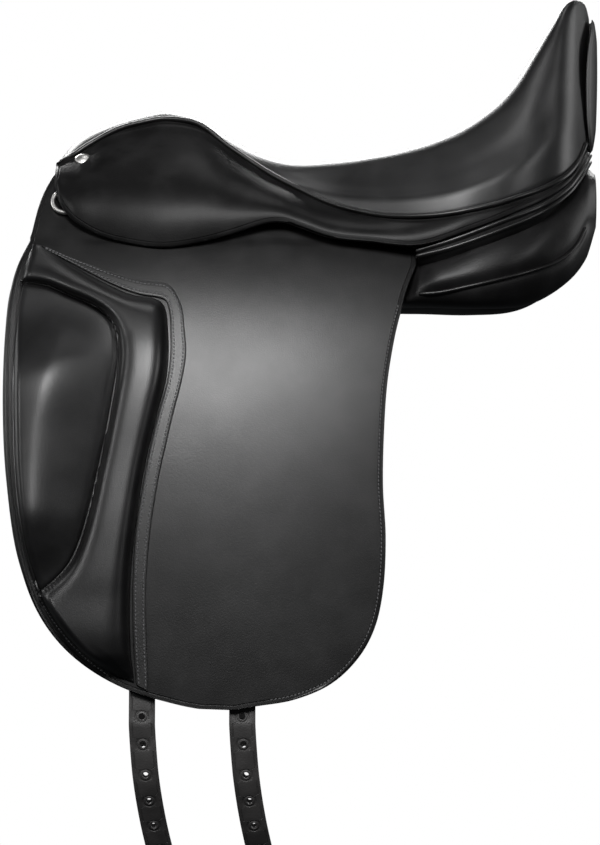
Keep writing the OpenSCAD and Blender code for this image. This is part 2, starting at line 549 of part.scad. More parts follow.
// ---------- dee ring in its leather chape, near the front edge of the fixed flap ----------
dee_mid = [-193, 80];
dee_lift = 4.1;
dee_turn = 58;
dee_lean = 7;
module on_side(p, k) {
    here = layer(p, k);
    translate(here) rotate([atan(side_slope(p.x, p.y)), 0, 0]) rotate([90, 0, 180]) children();
}
module dee_place() on_side(dee_mid, flap_k + flap_t + dee_lift) rotate([0, 0, dee_turn]) children();
module dee_right() color("silver") dee_place() rotate([dee_lean, 0, 0]) {
    rotate([0, 0, 180]) rotate_extrude(angle = 180) translate([dee_r, 0]) circle(r = dee_wire_r);
    translate([-dee_r - 1, 0, 0]) rotate([0, 90, 0]) cylinder(r = dee_wire_r - 0.1, h = 2 * dee_r + 2);
}
chape_w = 17;
chape_r = 3.2;
chape_len = 14;
chape_tail_t = 2.6;
module dee_chape_right() color("#1d1d1f") dee_place()
    translate([-chape_w / 2, 0, 0]) difference() {
        union() {
            rotate([0, 90, 0]) cylinder(r = chape_r, h = chape_w);
            translate([0, 0, -chape_r]) cube([chape_w, chape_len, chape_tail_t]);
        }
        translate([-1, 0, 0]) rotate([0, 90, 0]) cylinder(r = dee_wire_r + 0.05, h = chape_w + 2);
    }

// ---------- girth straps ----------
strap_top_z = 50;
strap_hinge_z = -345;
strap_end_gap = 2.5;
upper_hole_z = -338.5;
// Middle of a strap above its bend, leaning forward by lean where it bends
function strap_x(x, z, lean) = x - lean * (strap_top_z - z) / (strap_top_z - strap_hinge_z);
module strap(x, lean = 0) difference() {
    zs = concat(span(strap_top_z, -80, 8), span(-120, strap_hinge_z + strap_end_gap, 5));
    grid = [for (k = [strap_k, strap_k + strap_t]) [
        for (z = zs) [for (w = [-0.5, 0.5]) layer([strap_x(x, z, lean) + w * strap_w, z], k)]
    ]];
    slab(grid[0], grid[1]);
    on_side([strap_x(x, upper_hole_z, lean), upper_hole_z], strap_k)
        translate([0, 0, -strap_t]) cylinder(r = hole_r, h = 3 * strap_t, $fn = 24);
}

// The hanging end: its middle line runs down, back and in, and the off side's is straighter
end_len = 190;
near_path = [
    [0, 0, 0], [3, -1, -37.9], [8.2, -12, -73.7], [15.5, -26, -108], [24, -40, -142], [34, -54, -175]
];
off_path = [[0, 0, 0], [1.2, 1, -38], [4.2, -1, -75.8], [9.8, -5, -113.3], [18, -11, -150], [28, -19, -186]];
near_first_hole = 15.5;
off_first_hole = 9.2;
end_out = strap_k + strap_t / 2;
function end_at(x, path, s) =
    curve(path, s) + layer([x, strap_hinge_z], end_out) + [0, 0, -strap_end_gap];
function end_tilt(x, path, s) =
    let (d = end_at(x, path, min(1, s + 0.02)) - end_at(x, path, max(0, s - 0.02)))
    [atan2(d.x, -d.z), atan2(d.y, norm([d.x, d.z]))];
tip_from = 0.94;
tip_taper = 0.86;
function end_width(s) =
    strap_w * (s > tip_from ? sqrt(1 - tip_taper * pow((s - tip_from) / (1 - tip_from), 2)) : 1);
module strap_end(x, path, first_hole) difference() {
    grid = [for (t = [-0.5, 0.5]) [
        for (s = concat(span(0, tip_from, 12), [0.97, 0.99, 1]))
            let (a = end_tilt(x, path, s),
                 across = [cos(a.x), 0, sin(a.x)],
                 out = [-sin(a.x) * sin(a.y), cos(a.y), cos(a.x) * sin(a.y)])
            [for (v = [-0.5, 0.5]) end_at(x, path, s) + across * v * end_width(s) + out * t * strap_t]
    ]];
    slab(grid[0], grid[1]);
    for (i = [0 : hole_count - 1]) let (s = (first_hole + i * hole_pitch) / end_len, a = end_tilt(x, path, s))
        translate(end_at(x, path, s)) rotate([0, -a.x, 0]) rotate([a.y, 0, 0]) rotate([90, 0, 0])
            cylinder(r = hole_r, h = 3 * strap_t, center = true, $fn = 24);
}
module near_strap(x) color("#202022") left() strap(x);
module off_strap(x, lean) color("#202022") strap(x, lean);
module near_strap_end(x) color("#202022") left() strap_end(x, near_path, near_first_hole);
module off_strap_end(x, lean) color("#202022") strap_end(x - lean, off_path, off_first_hole);

tree_head();
left() tree_rail_right();  // tree_rail_left
tree_rail_right();
tree_cantle();
head_plate();
gullet_plate();
pommel_facing();
tree_rivets();
straining_webs();
girth_web_front();
girth_web_rear();
seat_foam();
seat_cover();
cantle_back();
left() seat_welt_right();  // seat_welt_left
seat_welt_right();
left() skirt_top_right();  // skirt_top_left
skirt_top_right();
left() skirt_right();  // skirt_left
skirt_right();
left() skirt_nail_right();  // skirt_nail_left
skirt_nail_right();
left() rear_facing_right();  // rear_facing_left
rear_facing_right();
left() panel_right();  // panel_left
panel_right();
left() point_pocket_right();  // point_pocket_left
point_pocket_right();
left() sweat_flap_right();  // sweat_flap_left
sweat_flap_right();
left() flap_top_right();  // flap_top_left
flap_top_right();
left() flap_right();  // flap_left
flap_right();
left() knee_block_right();  // knee_block_left
knee_block_right();
left() block_inset_right();  // block_inset_left
block_inset_right();
left() block_border_right();  // block_border_left
block_border_right();
left() stirrup_bar_right();  // stirrup_bar_left
stirrup_bar_right();
left() bar_catch_right();  // bar_catch_left
bar_catch_right();
left() dee_chape_right();  // dee_chape_left
dee_chape_right();
left() dee_right();  // dee_left
dee_right();
near_strap(front_x);  // front_strap_left
off_strap(front_x, front_off_lean);  // front_strap_right
near_strap(rear_x);  // rear_strap_left
off_strap(rear_x, rear_off_lean);  // rear_strap_right
near_strap_end(front_x);  // front_strap_end_left
off_strap_end(front_x, front_off_lean);  // front_strap_end_right
near_strap_end(rear_x);  // rear_strap_end_left
off_strap_end(rear_x, rear_off_lean);  // rear_strap_end_right
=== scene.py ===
"""English dressage saddle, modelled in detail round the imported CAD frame.

Surfaces are drawn in millimetres on the +Y side. Each side piece is made twice, the left one mirrored.
"""
import math

import bmesh
import bpy
import numpy as np
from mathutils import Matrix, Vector
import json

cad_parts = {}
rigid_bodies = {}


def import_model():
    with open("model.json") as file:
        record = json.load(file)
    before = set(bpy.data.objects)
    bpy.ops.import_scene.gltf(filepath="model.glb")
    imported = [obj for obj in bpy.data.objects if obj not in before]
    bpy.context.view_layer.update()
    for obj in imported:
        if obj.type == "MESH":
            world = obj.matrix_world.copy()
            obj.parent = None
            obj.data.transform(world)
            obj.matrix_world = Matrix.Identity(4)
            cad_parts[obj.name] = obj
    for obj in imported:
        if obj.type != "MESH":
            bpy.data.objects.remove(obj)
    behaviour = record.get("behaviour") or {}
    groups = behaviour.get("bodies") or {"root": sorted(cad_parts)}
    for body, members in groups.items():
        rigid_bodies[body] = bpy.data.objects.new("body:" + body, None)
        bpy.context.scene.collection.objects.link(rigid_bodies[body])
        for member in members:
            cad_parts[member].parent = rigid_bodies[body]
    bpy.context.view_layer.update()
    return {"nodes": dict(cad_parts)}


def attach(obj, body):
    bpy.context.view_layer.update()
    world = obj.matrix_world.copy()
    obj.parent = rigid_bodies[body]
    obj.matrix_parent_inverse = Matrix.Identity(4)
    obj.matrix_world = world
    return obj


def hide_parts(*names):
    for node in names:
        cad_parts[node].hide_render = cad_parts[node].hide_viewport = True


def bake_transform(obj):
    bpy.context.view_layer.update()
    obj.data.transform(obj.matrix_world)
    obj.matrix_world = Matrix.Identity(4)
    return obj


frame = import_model()
scene = bpy.context.scene

SIDES = ("left", "right")
NO_EDGE = 99.0  # the distance in mm given to shapes that have no open edge
POINTS_AT_ONCE = 1500


# --- curves and tables ---

def mix(a, b, t):
    return a + (b - a) * t


def smooth(t):
    t = np.clip(t, 0, 1)
    return t * t * (3 - 2 * t)


def spline(a, b, c, d, t):
    """Point between b and c at t from 0 to 1, on a smooth curve that passes through a, b, c and d."""
    return 0.5 * (2 * b + (c - a) * t + (2 * a - 5 * b + 4 * c - d) * t ** 2
                  + (3 * b - a - 3 * c + d) * t ** 3)


def curve(points, u):
    """Smooth curve through a list of points, at u from 0 to 1."""
    p = np.asarray(points, float)
    n = len(p) - 1
    s = np.clip(np.asarray(u, float) * n, 0, n - 1e-9)
    i = s.astype(int)
    t = (s - i).reshape(s.shape + (1,) * (p.ndim - 1))
    return spline(p[np.maximum(i - 1, 0)], p[i], p[i + 1], p[np.minimum(i + 2, n)], t)


def at(table, x):
    """Row of a table at x. Each row starts with its own x, and the rows between are blended smoothly."""
    t = np.asarray(table, float)
    x = np.asarray(x, float)
    xs = t[:, 0]
    last = len(t) - 1
    i = np.clip(np.searchsorted(xs, x, side="right") - 1, 0, last - 1)
    before = np.maximum(np.arange(last + 1) - 1, 0)
    after = np.minimum(np.arange(last + 1) + 1, last)
    rate = (t[after] - t[before]) / (xs[after] - xs[before])[:, None]
    h = (xs[i + 1] - xs[i])[..., None]
    s = np.clip((x - xs[i])[..., None] / h, 0, 1)
    r = 1 - s
    return (t[i] * (1 + 2 * s) * r * r + rate[i] * h * s * r * r
            + t[i + 1] * s * s * (3 - 2 * s) - rate[i + 1] * h * s * s * r)


def unit(v):
    return v / np.maximum(np.linalg.norm(v, axis=-1, keepdims=True), 1e-9)


def shares(count):
    """Numbers evenly spaced from 0 to 1."""
    return np.linspace(0, 1, count)


def turned(a, b, angle):
    """Two coordinates after a turn."""
    c, s = math.cos(angle), math.sin(angle)
    return c * a - s * b, s * a + c * b


def beside(line, gap):
    """A line in a plane, moved to its left by gap mm."""
    t = unit(np.gradient(line, axis=0))
    return line + np.stack([-t[:, 1], t[:, 0]], axis=1) * gap


def edge_distance(points, segments):
    """Distance from each point to the nearest of a list of segments, worked out in parts to save memory."""
    gaps = []
    a, d = segments[:, 0], segments[:, 1] - segments[:, 0]
    dd = np.maximum(np.einsum("mk,mk->m", d, d), 1e-9)
    for p in np.array_split(points, max(1, len(points) // POINTS_AT_ONCE)):
        t = np.clip((np.einsum("nk,mk->nm", p, d) - np.einsum("mk,mk->m", a, d)) / dd, 0, 1)
        gap = p[:, None] - a[None] - t[..., None] * d[None]
        gaps.append(np.sqrt(np.einsum("nmk,nmk->nm", gap, gap)).min(axis=1))
    return np.concatenate(gaps)


def distance_to(points, line):
    """Distance from each point to a line drawn through a list of points."""
    line = np.asarray(line, float)
    return edge_distance(np.asarray(points, float), np.stack([line[:-1], line[1:]], axis=1))


# --- shapes: (vertices, faces, distance of each vertex from the shape's open edge) ---

def grid_faces(rows, cols):
    return [(r * cols + c, r * cols + c + 1, (r + 1) * cols + c + 1, (r + 1) * cols + c)
            for r in range(rows - 1) for c in range(cols - 1)]


def solid(outer, inner, faces, edge):
    """Leather between two copies of one mesh, its edges rounded over a depth of `edge` mm."""
    outer, inner = np.array(outer, float), np.array(inner, float)
    count = len(outer)
    a, b, c = (outer[[f[i] for f in faces]] for i in (0, 1, 2))
    if np.sum(np.cross(b - a, c - a) * (outer - inner)[[f[0] for f in faces]]) < 0:
        faces = [f[::-1] for f in faces]
    ways = {way for f in faces for way in zip(f, f[1:] + f[:1])}
    rim = {a: b for a, b in ways if (b, a) not in ways}
    back = {b: a for a, b in rim.items()}
    mid = (outer + inner) / 2
    through = unit(outer - inner)
    half = np.linalg.norm(outer - inner, axis=1) / 2
    line = np.array([[mid[a], mid[b]] for a, b in rim.items()])
    rim_gap = edge_distance(mid, line)
    ids = {a: i for i, a in enumerate(rim)}
    around = np.array(list(rim))
    ahead = unit(mid[[rim[a] for a in around]] - mid[around])
    behind = unit(mid[around] - mid[[back[a] for a in around]])
    out = unit(np.cross(ahead + behind, through[around]))
    outer[around] -= out * edge
    inner[around] -= out * edge
    turns = np.radians([36, 72, 90, 108, 144])
    rings = []
    for t in turns:
        across = through[around] * (half[around] * math.cos(t))[:, None]
        rings.append(mid[around] + across + out * edge * (math.sin(t) - 1))
    verts = np.concatenate([outer, inner] + rings)

    def ring(level, a):
        if level < 0:
            return a
        if level == len(turns):
            return count + a
        return 2 * count + level * len(around) + ids[a]

    every = [tuple(f) for f in faces] + [tuple(count + i for i in f[::-1]) for f in faces]
    every += [(ring(k - 1, b), ring(k - 1, a), ring(k, a), ring(k, b))
              for a, b in rim.items() for k in range(len(turns) + 1)]
    return verts, every, np.concatenate([rim_gap, rim_gap, np.zeros(len(around) * len(turns))])


def sheet(outer, inner, edge=1.0):
    """Leather between two grids of points of the same shape."""
    rows, cols = outer.shape[:2]
    return solid(outer.reshape(-1, 3), inner.reshape(-1, 3), grid_faces(rows, cols), edge)


CAP_TURNS = (0.5, 1.0, 1.45)


def hoops(count, n):
    """Faces between hoops of n points each, and a face over each end."""
    faces = [(r * n + i, r * n + (i + 1) % n, (r + 1) * n + (i + 1) % n, (r + 1) * n + i)
             for r in range(count - 1) for i in range(n)]
    faces.append(tuple(range(n))[::-1])
    faces.append(tuple((count - 1) * n + i for i in range(n)))
    return faces


def tube(path, radius, sides=10):
    """Cord along a path with rounded ends."""
    p = np.asarray(path, float)
    t = unit(np.gradient(p, axis=0))
    side = [unit(np.cross(t[0], [0.0, 0.0, 1.0] if abs(t[0][2]) < 0.9 else [1.0, 0.0, 0.0]))]
    for k in range(1, len(p)):
        side.append(unit(side[-1] - t[k] * np.dot(side[-1], t[k])))
    side = np.array(side)
    up = np.cross(side, t)
    stations = [(p[0] - t[0] * radius * math.sin(g), 0, math.cos(g)) for g in CAP_TURNS[::-1]]
    stations += [(p[k], k, 1.0) for k in range(len(p))]
    stations += [(p[-1] + t[-1] * radius * math.sin(g), len(p) - 1, math.cos(g)) for g in CAP_TURNS]
    turn = np.linspace(0, 2 * math.pi, sides, endpoint=False)
    verts = np.concatenate([
        c + radius * r * (np.outer(np.cos(turn), side[k]) + np.outer(np.sin(turn), up[k]))
        for c, k, r in stations])
    return verts, hoops(len(stations), sides), np.full(len(verts), NO_EDGE)


def loft(rings):
    """Closed form through rings with the same number of points, its ends closed."""
    rings = np.asarray(rings, float)
    verts = rings.reshape(-1, 3)
    return verts, hoops(*rings.shape[:2]), np.full(len(verts), NO_EDGE)


def join(*shapes):
    """Several shapes as one."""
    verts, faces, gaps, base = [], [], [], 0
    for v, f, g in shapes:
        verts.append(v)
        gaps.append(g)
        faces += [tuple(base + i for i in face) for face in f]
        base += len(v)
    return np.concatenate(verts), faces, np.concatenate(gaps)


# A stitch from end to end: place along it (share of half its length) and thickness (share of its width)
STITCH = ((-1.0, 0.3), (-0.72, 0.9), (0.72, 0.9), (1.0, 0.3))
STITCH_PITCH, STITCH_LENGTH, STITCH_WIDTH, STITCH_HEIGHT = 3.2, 2.3, 0.6, 0.8
STITCH_SLANT, STITCH_SIDES = math.radians(9), 6


def stitches(path, normals):
    """Row of thread stitches lying on a surface along a path."""
    both = np.concatenate([np.asarray(path, float), np.asarray(normals, float)], axis=1)
    p = both[:, :3]
    run = np.concatenate([[0], np.cumsum(np.linalg.norm(np.diff(p, axis=0), axis=1))])
    s = np.arange(STITCH_PITCH / 2, run[-1], STITCH_PITCH)
    rows = np.stack([np.interp(s, run, both[:, k]) for k in range(6)], axis=1)
    along = unit(np.stack([np.interp(s + 0.5, run, p[:, k]) - np.interp(s - 0.5, run, p[:, k])
                           for k in range(3)], axis=1))
    up = unit(rows[:, 3:])
    across = np.cross(along, up)
    along, across = turned(along, across, -STITCH_SLANT)
    turn = np.linspace(0, 2 * math.pi, STITCH_SIDES, endpoint=False)
    verts, faces = [], []
    for c, a, n, b in zip(rows[:, :3], along, up, across):
        base = len(verts) * STITCH_SIDES
        for where, fat in STITCH:
            verts.append(c + a * (where * STITCH_LENGTH / 2) + STITCH_WIDTH * fat
                         * (np.outer(np.cos(turn), b) + STITCH_HEIGHT * np.outer(np.sin(turn), n)))
        faces += [tuple(base + i for i in face) for face in hoops(len(STITCH), STITCH_SIDES)]
    v = np.concatenate(verts)
    return v, faces, np.full(len(v), NO_EDGE)


def piece(name, shape, material, mirrored=False):
    """Makes one object from a shape in mm, with the distance to its edge kept as an attribute."""
    verts, faces, gaps = shape
    v = np.array(verts) / 1000
    if mirrored:
        v[:, 1] *= -1
    mesh = bpy.data.meshes.new(name)
    mesh.from_pydata(v.tolist(), [], faces)
    closed = bmesh.new()
    closed.from_mesh(mesh)
    if closed.calc_volume(signed=True) < 0:
        bmesh.ops.reverse_faces(closed, faces=closed.faces)
        closed.to_mesh(mesh)
    closed.free()
    mesh.polygons.foreach_set("use_smooth", [True] * len(faces))
    mesh.attributes.new("rim", "FLOAT", "POINT").data.foreach_set("value", np.asarray(gaps, np.float32))
    mesh.materials.append(material)
    obj = bpy.data.objects.new(name, mesh)
    scene.collection.objects.link(obj)
    return obj


def sided(p, side):
    """A point in mm on the +Y side, as metres on the named side."""
    return (p[0] / 1000, (p[1] if side == "right" else -p[1]) / 1000, p[2] / 1000)


def pair(name, shape, material, bend=None, replaces=()):
    """Makes a piece on each side, named without their side: riding on the root, or, where a bend is given,
    baked in place and left without a body.
    """
    for side in SIDES:
        obj = piece(f"{name}_{side}", shape, material, mirrored=side == "left")
        if bend:
            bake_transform(obj)
        else:
            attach(obj, "root")
        if replaces:
            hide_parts(*[f"{n}_{side}" for n in replaces])


def single(name, shape, material, replaced):
    """Makes a piece on the middle line, riding on the root."""
    obj = piece(name, shape, material)
    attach(obj, "root")
    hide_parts(replaced)


# --- camera ---

camera = bpy.data.objects.new("camera", bpy.data.cameras.new("camera"))
camera.location = (0, -3.2, -0.104)
camera.rotation_euler = (math.radians(90), 0, 0)
camera.data.lens = 159.8
camera.data.sensor_width = 36
camera.data.clip_end = 50
scene.collection.objects.link(camera)
scene.camera = camera


# --- materials ---

class Nodes:
    """Adds nodes to a material or a world. A value is a number, a tuple or another node's output."""

    def __init__(self, owner):
        owner.use_nodes = True
        self.tree = owner.node_tree
        self.tree.nodes.clear()

    def put(self, socket, value):
        if isinstance(value, bpy.types.NodeSocket):
            self.tree.links.new(value, socket)
        else:
            socket.default_value = value

    def add(self, kind, output, inputs, **settings):
        """Adds a node and gives back one of its outputs."""
        node = self.tree.nodes.new("ShaderNode" + kind)
        for key, value in settings.items():
            setattr(node, key, value)
        for key, value in inputs.items():
            self.put(node.inputs[key], value)
        return None if output is None else node.outputs[output]


class Surface(Nodes):
    """A material and its nodes."""

    def __init__(self, name):
        self.material = bpy.data.materials.new(name)
        super().__init__(self.material)
        self.shader = self.tree.nodes.new("ShaderNodeBsdfPrincipled")
        self.add("OutputMaterial", None, {0: self.shader.outputs[0]})
        self.coords = self.add("TexCoord", "Object", {})

    def noise(self, scale, detail=3.0, rough=0.5, coords=None):
        inputs = {"Vector": coords or self.coords, "Scale": scale, "Detail": detail, "Roughness": rough}
        return self.add("TexNoise", "Fac", inputs)

    def wave(self, scale, distortion, direction="X"):
        """Bands across one direction."""
        inputs = {"Vector": self.coords, "Scale": scale, "Distortion": distortion}
        return self.add("TexWave", "Fac", inputs, bands_direction=direction)

    def stretched(self, *scales):
        """Object coordinates scaled by a factor along each axis."""
        return self.add("Mapping", 0, {"Vector": self.coords, "Scale": scales})

    def cells(self, scale, feature="F1"):
        return self.add("TexVoronoi", "Distance", {"Vector": self.coords, "Scale": scale}, feature=feature)

    def math(self, how, a, b=0.0):
        return self.add("Math", 0, {0: a, 1: b}, operation=how)

    def ramp(self, value, low, high, to_low=0.0, to_high=1.0):
        inputs = {"Value": value, "From Min": low, "From Max": high, "To Min": to_low, "To Max": to_high}
        return self.add("MapRange", 0, inputs, interpolation_type="SMOOTHSTEP")

    def blend(self, factor, a, b):
        """Mixes two colours."""
        a, b = ((*c, 1) if isinstance(c, tuple) else c for c in (a, b))
        return self.add("Mix", 2, {0: factor, 6: a, 7: b}, data_type="RGBA")

    def bump(self, height, strength, distance, under=None):
        """Normal raised by a height, on top of another normal where one is given."""
        inputs = {"Height": height, "Strength": strength, "Distance": distance}
        if under is not None:
            inputs["Normal"] = under
        return self.add("Bump", 0, inputs)

    def finish(self, colour, rough, normal, **others):
        """Sets the surface, and gives back the material."""
        self.put(self.shader.inputs["Base Color"], colour)
        self.put(self.shader.inputs["Roughness"], rough)
        self.put(self.shader.inputs["Normal"], normal)
        for key, value in others.items():
            self.put(self.shader.inputs[key.replace("_", " ")], value)
        return self.material


def leather(name, tone, rough, shine=0.42, grain=0.25, grain_scale=900, crease=None, wave=0.15):
    """Leather with pores, faint mottling and worn edges.

    tone is a colour, grain and wave are strengths, crease is a pressed line's distance from the edge in mm.
    """
    n = Surface(name)
    mottled = n.blend(n.ramp(n.noise(38, 4.0), 0.35, 0.75), tone, tuple(c * 1.9 + 0.002 for c in tone))
    rim = n.add("Attribute", "Fac", {}, attribute_name="rim")
    worn = n.ramp(rim, 0.0, 1.6, 1.0, 0.0)
    scuffs = n.ramp(n.noise(160, 5.0, 0.7), 0.52, 0.74)
    colour = n.blend(n.math("MULTIPLY", worn, scuffs), mottled, tuple(c * 2.6 + 0.012 for c in tone))
    patch = n.ramp(n.noise(22, 3.0), 0.3, 0.7, rough - 0.012, rough + 0.018)
    fine = n.ramp(n.noise(700, 2.0), 0.3, 0.7, -0.008, 0.008)
    pebble = n.ramp(n.cells(grain_scale, "SMOOTH_F1"), 0.0, 0.6)
    pores = n.ramp(n.noise(grain_scale * 2.6, 2.0), 0.35, 0.65)
    skin = n.math("ADD", pebble, n.math("MULTIPLY", pores, 0.35))
    normal = n.bump(skin, grain, 0.00022, n.bump(n.noise(13, 2.0), wave, 0.0016))
    if crease:
        off = n.math("ABSOLUTE", n.math("SUBTRACT", rim, crease))
        normal = n.bump(n.ramp(off, 0.12, 0.75), 0.9, 0.0005, normal)
    return n.finish(colour, n.math("ADD", patch, fine), normal,
                    Specular_IOR_Level=shine, Coat_Weight=0.05, Coat_Roughness=0.24)


def thread_material():
    n = Surface("thread")
    # The twist's bands raise the thread's bump. As colour they are painted highlights on its ridges, with
    # painted shade between them.
    twist_and_painted_highlight = n.wave(420.0, 0.6)
    colour = n.blend(twist_and_painted_highlight, (0.05, 0.05, 0.051), (0.15, 0.15, 0.155))
    return n.finish(colour, 0.62, n.bump(twist_and_painted_highlight, 0.5, 0.0001))


def metal(name, tone, rough, scratch=0.2):
    """Brushed metal with faint dull spots."""
    n = Surface(name)
    lines = n.noise(500, 4.0, 0.6, n.stretched(1.0, 14.0, 1.0))
    spots = n.ramp(n.noise(90, 4.0), 0.4, 0.75)
    colour = n.blend(spots, tone, tuple(c * 0.72 for c in tone))
    return n.finish(colour, n.ramp(lines, 0.3, 0.7, rough - 0.05, rough + 0.09),
                    n.bump(lines, scratch, 0.00005), Metallic=1.0)


def wood():
    n = Surface("stained_laminated_wood")
    grain = n.noise(260, 6.0, 0.65, n.stretched(0.16, 1.0, 1.0))
    plies = n.ramp(n.wave(62.0, 0.8, "Z"), 0.42, 0.5, 0.0, 0.4)
    streaks = n.blend(n.ramp(grain, 0.3, 0.7), (0.05, 0.034, 0.022), (0.026, 0.018, 0.012))
    layered = n.blend(plies, streaks, (0.014, 0.0095, 0.007))
    return n.finish(layered, n.ramp(grain, 0.3, 0.7, 0.36, 0.52), n.bump(grain, 0.25, 0.0003))


def webbing():
    n = Surface("linen_web")
    weave = n.math("MAXIMUM", n.wave(330.0, 0.3, "X"), n.wave(330.0, 0.3, "Y"))
    stain = n.ramp(n.noise(30, 4.0), 0.3, 0.75)
    colour = n.blend(stain, (0.56, 0.5, 0.38), (0.4, 0.34, 0.24))
    return n.finish(colour, 0.9, n.bump(weave, 0.6, 0.0004), Sheen_Weight=0.25)


def foam_material():
    n = Surface("latex_foam")
    # The pores raise the foam's bump. As colour they are painted shade, darkest at each pore's middle.
    pores_and_painted_shade = n.ramp(n.cells(520), 0.05, 0.4)
    colour = n.blend(pores_and_painted_shade, (0.45, 0.36, 0.2), (0.72, 0.61, 0.38))
    return n.finish(colour, 0.95, n.bump(pores_and_painted_shade, 0.7, 0.0006))


BLACK = (0.0055, 0.0054, 0.0055)
SEAT = leather("seat_leather", (0.0055, 0.0054, 0.0056), 0.4, shine=0.5, grain=0.16, grain_scale=1100)
FLAP = leather("flap_leather", BLACK, 0.33, shine=0.36, grain=0.12, crease=3.6)
SKIRT = leather("skirt_leather", BLACK, 0.4, shine=0.09, grain=0.17, crease=3.6)
PLAIN = leather("plain_leather", BLACK, 0.36, grain=0.2)
BLOCK = leather("block_leather", (0.0045, 0.0044, 0.0046), 0.35, grain=0.14, grain_scale=1100)
PANEL = leather("panel_leather", (0.0065, 0.0063, 0.0065), 0.4, shine=0.22, grain=0.24, wave=0.4)
STRAP = leather("strap_leather", (0.028, 0.0268, 0.0265), 0.47, shine=0.6, grain=0.3, crease=2.3)
WELT = leather("welt_leather", (0.005, 0.0049, 0.005), 0.33, grain=0.14)
THREAD = thread_material()
NICKEL = metal("nickel", (0.7, 0.69, 0.67), 0.4)
STEEL = metal("brushed_steel", (0.42, 0.43, 0.45), 0.36, 0.4)
WOOD = wood()
WEB = webbing()
FOAM = foam_material()


# --- the side: sweat flap, straps, flap and block lie on it in layers ---

FOLD_FRONT, FOLD_REAR = (-223.0, 46.0), (96.0, 26.0)
SWEAT_T, STRAP_T, FLAP_T, SKIRT_T = 2.5, 3.5, 3.5, 3.5
# Distances of the straps, the flap and the flap's face from the sweat flap's inner face
STRAP_K, FLAP_K = 4.2, 9.2
FACE_K = FLAP_K + FLAP_T
SIDE_Z, SIDE_Y, SIDE_WIDEST_X, SIDE_CURVE = 45, 96, -80, 3
SIDE_BOW, SIDE_BOW_DEPTH, SIDE_SLOPE = 45, 90, 0.17
TOP_SLOPE, TOP_CURVE = 0.6, 0.002


def fold_z(x):
    """Height of the line on which the flap bends when it is lifted."""
    return mix(FOLD_FRONT[1], FOLD_REAR[1], (x - FOLD_FRONT[0]) / (FOLD_REAR[0] - FOLD_FRONT[0]))


def side_y(x, z):
    """Half width of the sweat flap's inner face at (x, z): it bows outward below SIDE_Z."""
    d = SIDE_Z - z
    low = SIDE_BOW * (1 - np.exp(-np.maximum(d, 0) / SIDE_BOW_DEPTH)) + SIDE_SLOPE * d
    high = TOP_SLOPE * d - TOP_CURVE * d * d
    return SIDE_Y - SIDE_CURVE * ((x - SIDE_WIDEST_X) / 100) ** 2 + np.where(d > 0, low, high)


def layer(p, k):
    """Point at k mm out from the sweat flap's inner face, over (x, z)."""
    p = np.asarray(p, float)
    x, z = p[..., 0], p[..., 1]
    slope = (side_y(x, z - 1) - side_y(x, z + 1)) / 2
    return np.stack([x, side_y(x, z) + k * np.sqrt(1 + slope ** 2), z], axis=-1)


def out_of(p):
    """Direction straight out of the side at (x, z)."""
    p = np.asarray(p, float)
    across = layer(p + [1, 0], 0) - layer(p - [1, 0], 0)
    down = layer(p - [0, 1], 0) - layer(p + [0, 1], 0)
    return unit(np.cross(across, down))


def span_pairs(pairs, rows, cols, crowd=1.0):
    """Grid of (x, z) between the front and rear points of a list of pairs."""
    ends = curve(pairs, shares(rows + 1))
    v = shares(cols + 1) ** crowd
    return mix(ends[:, None, 0], ends[:, None, 1], v[None, :, None])


def on_side(grid, k0, k1, edge):
    """Sheet of leather over a grid of (x, z), from k0 to k1 mm out."""
    return sheet(layer(grid, k1), layer(grid, k0), edge)


FLAP_PAIRS = [
    (FOLD_FRONT, FOLD_REAR), ((-232, 26), (88, 6)), ((-237, 6), (83, -12)), ((-240, -20), (77, -36)),
    ((-241, -60), (71, -72)), ((-240, -105), (68, -113)), ((-237, -150), (67, -155)),
    ((-231, -190), (69, -196)), ((-222, -228), (67, -236)), ((-209, -258), (60, -268)),
    ((-190, -283), (46, -293)), ((-165, -303), (24, -313)), ((-135, -318), (-5, -325)),
    ((-100, -328), (-35, -330)), ((-80, -332), (-52, -333)),
]
FLAP_TOP = [
    (-222.5, 49), (-217, 76), (-209, 97), (-201, 107), (-190, 101), (-176, 82), (-162, 61),
    (-150, 55), (-88, 55), (-70, 63), (-20, 66), (30, 61), (70, 50), (96, 39),
]
SWEAT_PAIRS = [
    ((-221, 47), (84, 28)), ((-237, 10), (74, -12)), ((-241.5, -30), (66, -45)), ((-242, -90), (55, -100)),
    ((-238, -150), (54, -155)), ((-227, -215), (54, -215)), ((-204, -266), (46, -262)),
    ((-165, -304), (22, -298)), ((-110, -326), (-35, -322)),
]

# Where the flap's leather bends when it is lifted: from the fold line to a little below it
FLAP_BEND = ("flap", (-64, 117, 36), (-65.2, 117, 17))

# The flap's hanging part and its fixed top share one grid, with its columns crowded toward the front
FLAP_COLS, FLAP_TOP_ROWS, FLAP_CROWD = 84, 12, 1.25
hanging = span_pairs(FLAP_PAIRS, 96, FLAP_COLS, FLAP_CROWD)
top_x = mix(FOLD_FRONT[0], FOLD_REAR[0], shares(FLAP_COLS + 1) ** FLAP_CROWD)
top_z = at(FLAP_TOP, top_x)[:, 1]
share_up = np.linspace(1, 0, FLAP_TOP_ROWS + 1)[:-1, None]
top_zs = mix(fold_z(top_x), top_z, share_up)
fixed = np.stack([np.broadcast_to(top_x, top_zs.shape), top_zs], axis=-1)
flap_grid = np.concatenate([fixed, hanging])
pair("flap_leather", on_side(flap_grid, FLAP_K, FACE_K, 1.1), FLAP,
     bend=FLAP_BEND, replaces=("flap_top", "flap"))
pair("sweat_flap_leather", on_side(span_pairs(SWEAT_PAIRS, 60, 48), 0, SWEAT_T, 0.8), PLAIN,
     replaces=("sweat_flap",))


